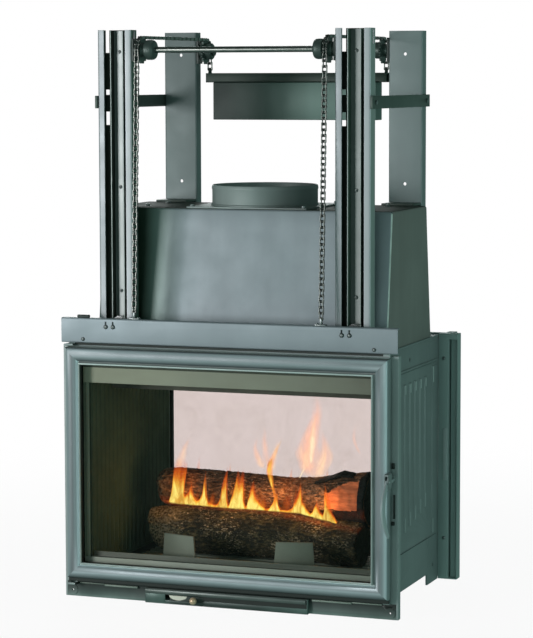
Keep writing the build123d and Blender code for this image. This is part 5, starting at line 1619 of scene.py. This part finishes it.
def ribbon(name, path, widths, seed, mat, power=1.0, turn=0.0, soft=2.0, hot=(1.0, 0.0), nx=12, nz=44, foot=0.12, gone=0.5):
    """One lick along a path of (x, y, z) points with its half widths."""
    verts, heat, cover = [], [], []
    n = len(path) - 1

    def along(vals, v):
        k = min(n - 1, int(v * n))
        f = v * n - k
        a = vals[max(0, k - 1)], vals[k], vals[k + 1], vals[min(n, k + 2)]
        out = []
        for c in range(len(vals[0])):
            p0, p1, p2, p3 = (q[c] for q in a)
            out.append(0.5 * ((2 * p1) + (-p0 + p2) * f + (2 * p0 - 5 * p1 + 4 * p2 - p3) * f * f + (-p0 + 3 * p1 - 3 * p2 + p3) * f ** 3))
        return out

    wv = [(w,) for w in widths]
    for j in range(nz + 1):
        v = j / nz
        x, y, z = along(path, v)
        half = max(0.15, along(wv, v)[0]) * (1 + 0.12 * noise.noise(Vector((seed, v * 9, 0))))
        ang = math.radians(turn) + 0.5 * noise.noise(Vector((seed, v * 2.0, 5.0)))
        for i in range(nx + 1):
            u = -1 + 2 * i / nx
            verts.append(P(x + half * u * math.cos(ang), y + half * u * math.sin(ang) + 1.5 * noise.noise(Vector((u, v * 3, seed))), z))
            heat.append((hot[0] + (hot[1] - hot[0]) * v) * (1 - 0.35 * abs(u)))
            cover.append(power * (1 - abs(u) ** soft) * (1 - smooth(gone, 1.0, v)) * smooth(0.0, foot, v))
    faces = []
    for j in range(nz):
        for i in range(nx):
            a = j * (nx + 1) + i
            faces.append((a, a + 1, a + nx + 2, a + nx + 1))
    me = bpy.data.meshes.new(name)
    me.from_pydata(verts, [], faces)
    for nm, vals in (("fire_heat", heat), ("cover", cover)):
        me.attributes.new(nm, "FLOAT", "POINT").data.foreach_set("value", vals)
    me.update()
    return link(name, me, mat, "root")


def lick(name, path, widths, seed, mat, power=1.0, cross=True, **kw):
    ribbon(name + "_a", path, widths, seed, mat, power, 4.0, **kw)
    if cross:
        ribbon(name + "_b", path, [w * 0.8 for w in widths], seed + 3.3, mat, power * 0.75, 80.0, **kw)


# tall lick from the middle of the curtain, over the front of the upper log
lick("lick_mid", [(48, 193, 193), (46, 192, 214), (45, 191, 236), (38, 191, 262), (32, 193, 286), (33, 196, 306), (41, 202, 330), (52, 210, 356), (57, 214, 372)],
     [2.6, 3.4, 4.0, 6.0, 8.6, 9.0, 6.0, 3.0, 0.6], 1.0, FIRE, 0.86, cross=False, hot=(0.55, 0.55), gone=0.55, soft=2.4)
lick("lick_mid_core", [(40, 190, 250), (36, 190, 268), (32, 191, 286), (32, 195, 304), (38, 200, 322)], [1.5, 4.5, 6.0, 4.5, 1.0], 2.0, FIRE, 0.9, cross=False, hot=(0.95, 0.7), gone=0.5)
lick("lick_thin", [(27, 192, 194), (36, 191, 202), (42, 191, 214), (45, 190, 228)], [1.0, 1.6, 1.6, 0.5], 5.0, FIRE, 0.9, cross=False, hot=(0.9, 0.6), gone=0.7)
for i, (x, w, h) in enumerate(((-84, 6, 276), (-38, 8, 276), (-12, 7, 262), (74, 13, 246), (-118, 9, 232), (-158, 8, 232), (12, 12, 226), (94, 6, 262))):
    lick("haze_%d" % i, [(x, 197, 199), (x + 1, 197, 199 + (h - 199) * 0.35), (x + 3, 198, 199 + (h - 199) * 0.7), (x + 5, 200, h)], [w, w * 0.9, w * 0.6, 0.6], 20.0 + i, FIRE, 0.42,
         cross=False, hot=(0.30, 0.0), gone=0.1, foot=0.3)
# pale licks seen against the far glass, rising behind the upper log
lick("pale_left", [(-226, 258, 276), (-222, 258, 292), (-216, 258, 308), (-209, 258, 328), (-200, 258, 344), (-192, 258, 354)], [9, 13, 11, 8, 4, 0.5], 7.0, FAINT, 0.62, hot=(0.9, 0.1), gone=0.2, foot=0.05)
lick("pale_mid_left", [(-8, 256, 284), (-16, 256, 300), (-24, 256, 318), (-28, 256, 334), (-24, 256, 352), (-20, 256, 362)], [10, 12, 10, 7, 4, 0.5], 8.0, FAINT, 0.62, hot=(0.7, 0.2), gone=0.3)
lick("pale_mid_top", [(4, 256, 290), (0, 256, 320), (-4, 256, 350), (-3, 256, 372), (-6, 256, 392)], [14, 13, 9, 5, 0.5], 9.0, FAINT, 0.42, hot=(0.5, 0.0), gone=0.3)
lick("pale_mid_right", [(12, 254, 282), (14, 254, 300), (22, 254, 322), (29, 254, 345), (33, 254, 362)], [15, 13, 9, 5, 0.5], 10.0, FAINT, 0.72, hot=(1.0, 0.5), gone=0.35)
lick("pale_tall", [(112, 258, 268), (104, 258, 300), (104, 258, 330), (112, 258, 366), (122, 258, 398), (128, 258, 424), (128, 258, 452), (122, 258, 478)],
     [17, 26, 29, 24, 18, 14, 11, 0.6], 11.0, FAINT, 1.0, hot=(0.55, 0.15), gone=0.45)
lick("pale_tall_core", [(112, 256, 300), (114, 256, 330), (118, 256, 362), (120, 256, 396), (124, 256, 424)], [5, 9, 9, 6, 0.5], 12.0, FAINT, 0.95, hot=(1.0, 0.9), gone=0.5, cross=False)
lick("pale_right", [(126, 260, 266), (136, 260, 292), (146, 260, 316), (148, 260, 340), (142, 260, 368), (138, 260, 392)], [16, 22, 23, 16, 9, 0.5], 13.0, FAINT, 0.85, hot=(0.8, 0.2), gone=0.35)
lick("pale_slope", [(84, 250, 262), (94, 250, 282), (104, 252, 300), (110, 254, 316)], [2.2, 3.0, 3.0, 0.5], 14.0, FAINT, 0.7, hot=(0.9, 0.8), gone=0.6, cross=False)
lick("pale_far", [(236, 262, 330), (226, 262, 346), (219, 262, 366), (220, 262, 388), (226, 262, 404)], [2.0, 4.0, 5.0, 3.0, 0.4], 15.0, FAINT, 0.40, hot=(0.3, 0.0), gone=0.4, cross=False)
# the same fire seen from the back
for i, (x, h, w) in enumerate(((-200, 300, 17), (-160, 268, 14), (-118, 290, 15), (-66, 276, 14), (-18, 300, 17), (40, 286, 15), (84, 272, 13), (132, 292, 15), (178, 262, 14))):
    lick("rear_lick_%d" % i, [(x, 322, 190), (x + 2, 322, 208), (x - 1, 321, 190 + (h - 190) * 0.6), (x + 4, 318, h)], [w, w * 0.9, w * 0.45, 0.6], 30.0 + i, FIRE, 0.9, cross=False, hot=(1.0, 0.1), gone=0.4)

for i, (x, y, z, e) in enumerate(((-196, 188, 240, 0.30), (-60, 186, 226, 0.34), (44, 184, 245, 0.30), (165, 178, 214, 0.26), (110, 262, 360, 0.20))):
    d = bpy.data.lights.new("fire_light_%d" % i, "POINT")
    d.energy = e
    d.color = (1.0, 0.45, 0.14)
    d.shadow_soft_size = 0.03
    lo_ = bpy.data.objects.new("fire_light_%d" % i, d)
    scene.collection.objects.link(lo_)
    lo_.location = P(x, y, z)
    lo_.visible_glossy = False

# ---------------------------------------------------------------------
# Floor and studio light
# ---------------------------------------------------------------------
bm = bmesh.new()
bmesh.ops.create_circle(bm, cap_ends=True, cap_tris=False, segments=96, radius=4.0)
bm.transform(Matrix.Translation((0, 0, -0.0006)))
me = to_mesh(bm, "floor")
k = Mat("pale_floor")
col = k.ramp(k.noise(0.7, 2.0, 0.5), [(0.3, (0.90, 0.90, 0.895)), (0.7, (0.92, 0.92, 0.92))])
pb = k.principled(**{"Base Color": col, "Roughness": 0.8, "Emission Color": (1, 1, 1), "Emission Strength": 0.12})
tr = k.node("ShaderNodeBsdfTransparent")
ln = k.node("ShaderNodeVectorMath", operation="LENGTH")
k.link(k.tc.outputs["Object"], ln.inputs[0])
share = k.node("ShaderNodeMapRange", interpolation_type="SMOOTHSTEP")
for kk, vv in (("From Min", 0.55), ("From Max", 2.6), ("To Min", 0.075), ("To Max", 0.0)):
    share.inputs[kk].default_value = vv
k.link(ln.outputs["Value"], share.inputs["Value"])
mx = k.node("ShaderNodeMixShader")
k.link(share.outputs["Result"], mx.inputs[0])
k.link(tr.outputs[0], mx.inputs[1])
k.link(pb.outputs[0], mx.inputs[2])
me.materials.append(k.finish(mx.outputs[0]))
fl = bpy.data.objects.new("floor", me)
scene.collection.objects.link(fl)


def area(name, loc, target, size, power, color=(1, 1, 1), size_y=None):
    d = bpy.data.lights.new(name, "AREA")
    d.shape = "RECTANGLE"
    d.size, d.size_y = size, size_y or size
    d.energy = power
    d.color = color
    o = bpy.data.objects.new(name, d)
    scene.collection.objects.link(o)
    o.location = loc
    o.rotation_euler = (Vector(target) - Vector(loc)).to_track_quat("-Z", "Y").to_euler()
    return o


def on_ring(azimuth, dist, z):
    a = math.radians(azimuth)
    return (math.sin(a) * dist, -math.cos(a) * dist, z)


area("key", on_ring(-32, 5.0, 1.0), (0, 0, 0.68), 1.3, 98, (1.0, 0.985, 0.995), 1.7)
area("front_soft", on_ring(4, 6.0, 0.9), (0, 0, 0.6), 2.6, 22, (0.86, 1.0, 1.0), 1.6)
area("right_soft", on_ring(66, 4.5, 0.8), (0, 0, 0.6), 2.4, 25, (0.72, 1.0, 0.95), 1.6)
area("back_soft", on_ring(205, 5.0, 1.3), (0, 0, 0.6), 2.0, 80, (0.95, 1.0, 1.0))
area("top_soft", (0.4, 0.8, 4.6), (0, 0, 0.9), 2.4, 9, (0.86, 1.0, 0.94))

w = bpy.data.worlds.new("studio")
scene.world = w
w.use_nodes = True
t = w.node_tree
t.nodes.clear()
out = t.nodes.new("ShaderNodeOutputWorld")
bg1 = t.nodes.new("ShaderNodeBackground")
tcw = t.nodes.new("ShaderNodeTexCoord")
sep = t.nodes.new("ShaderNodeSeparateXYZ")
t.links.new(tcw.outputs["Generated"], sep.inputs[0])
mr = t.nodes.new("ShaderNodeMapRange")
for kk, vv in (("From Min", 0.0), ("From Max", 0.7), ("To Min", 0.24), ("To Max", 0.05)):
    mr.inputs[kk].default_value = vv
t.links.new(sep.outputs["Z"], mr.inputs["Value"])
t.links.new(mr.outputs["Result"], bg1.inputs["Strength"])
bg1.inputs["Color"].default_value = (0.58, 1.0, 0.88, 1)
bg2 = t.nodes.new("ShaderNodeBackground")
bg2.inputs["Color"].default_value = (1, 1, 1, 1)
bg2.inputs["Strength"].default_value = 1.0
lp = t.nodes.new("ShaderNodeLightPath")
mx = t.nodes.new("ShaderNodeMixShader")
t.links.new(lp.outputs["Is Camera Ray"], mx.inputs[0])
t.links.new(bg1.outputs[0], mx.inputs[1])
t.links.new(bg2.outputs[0], mx.inputs[2])
t.links.new(mx.outputs[0], out.inputs["Surface"])
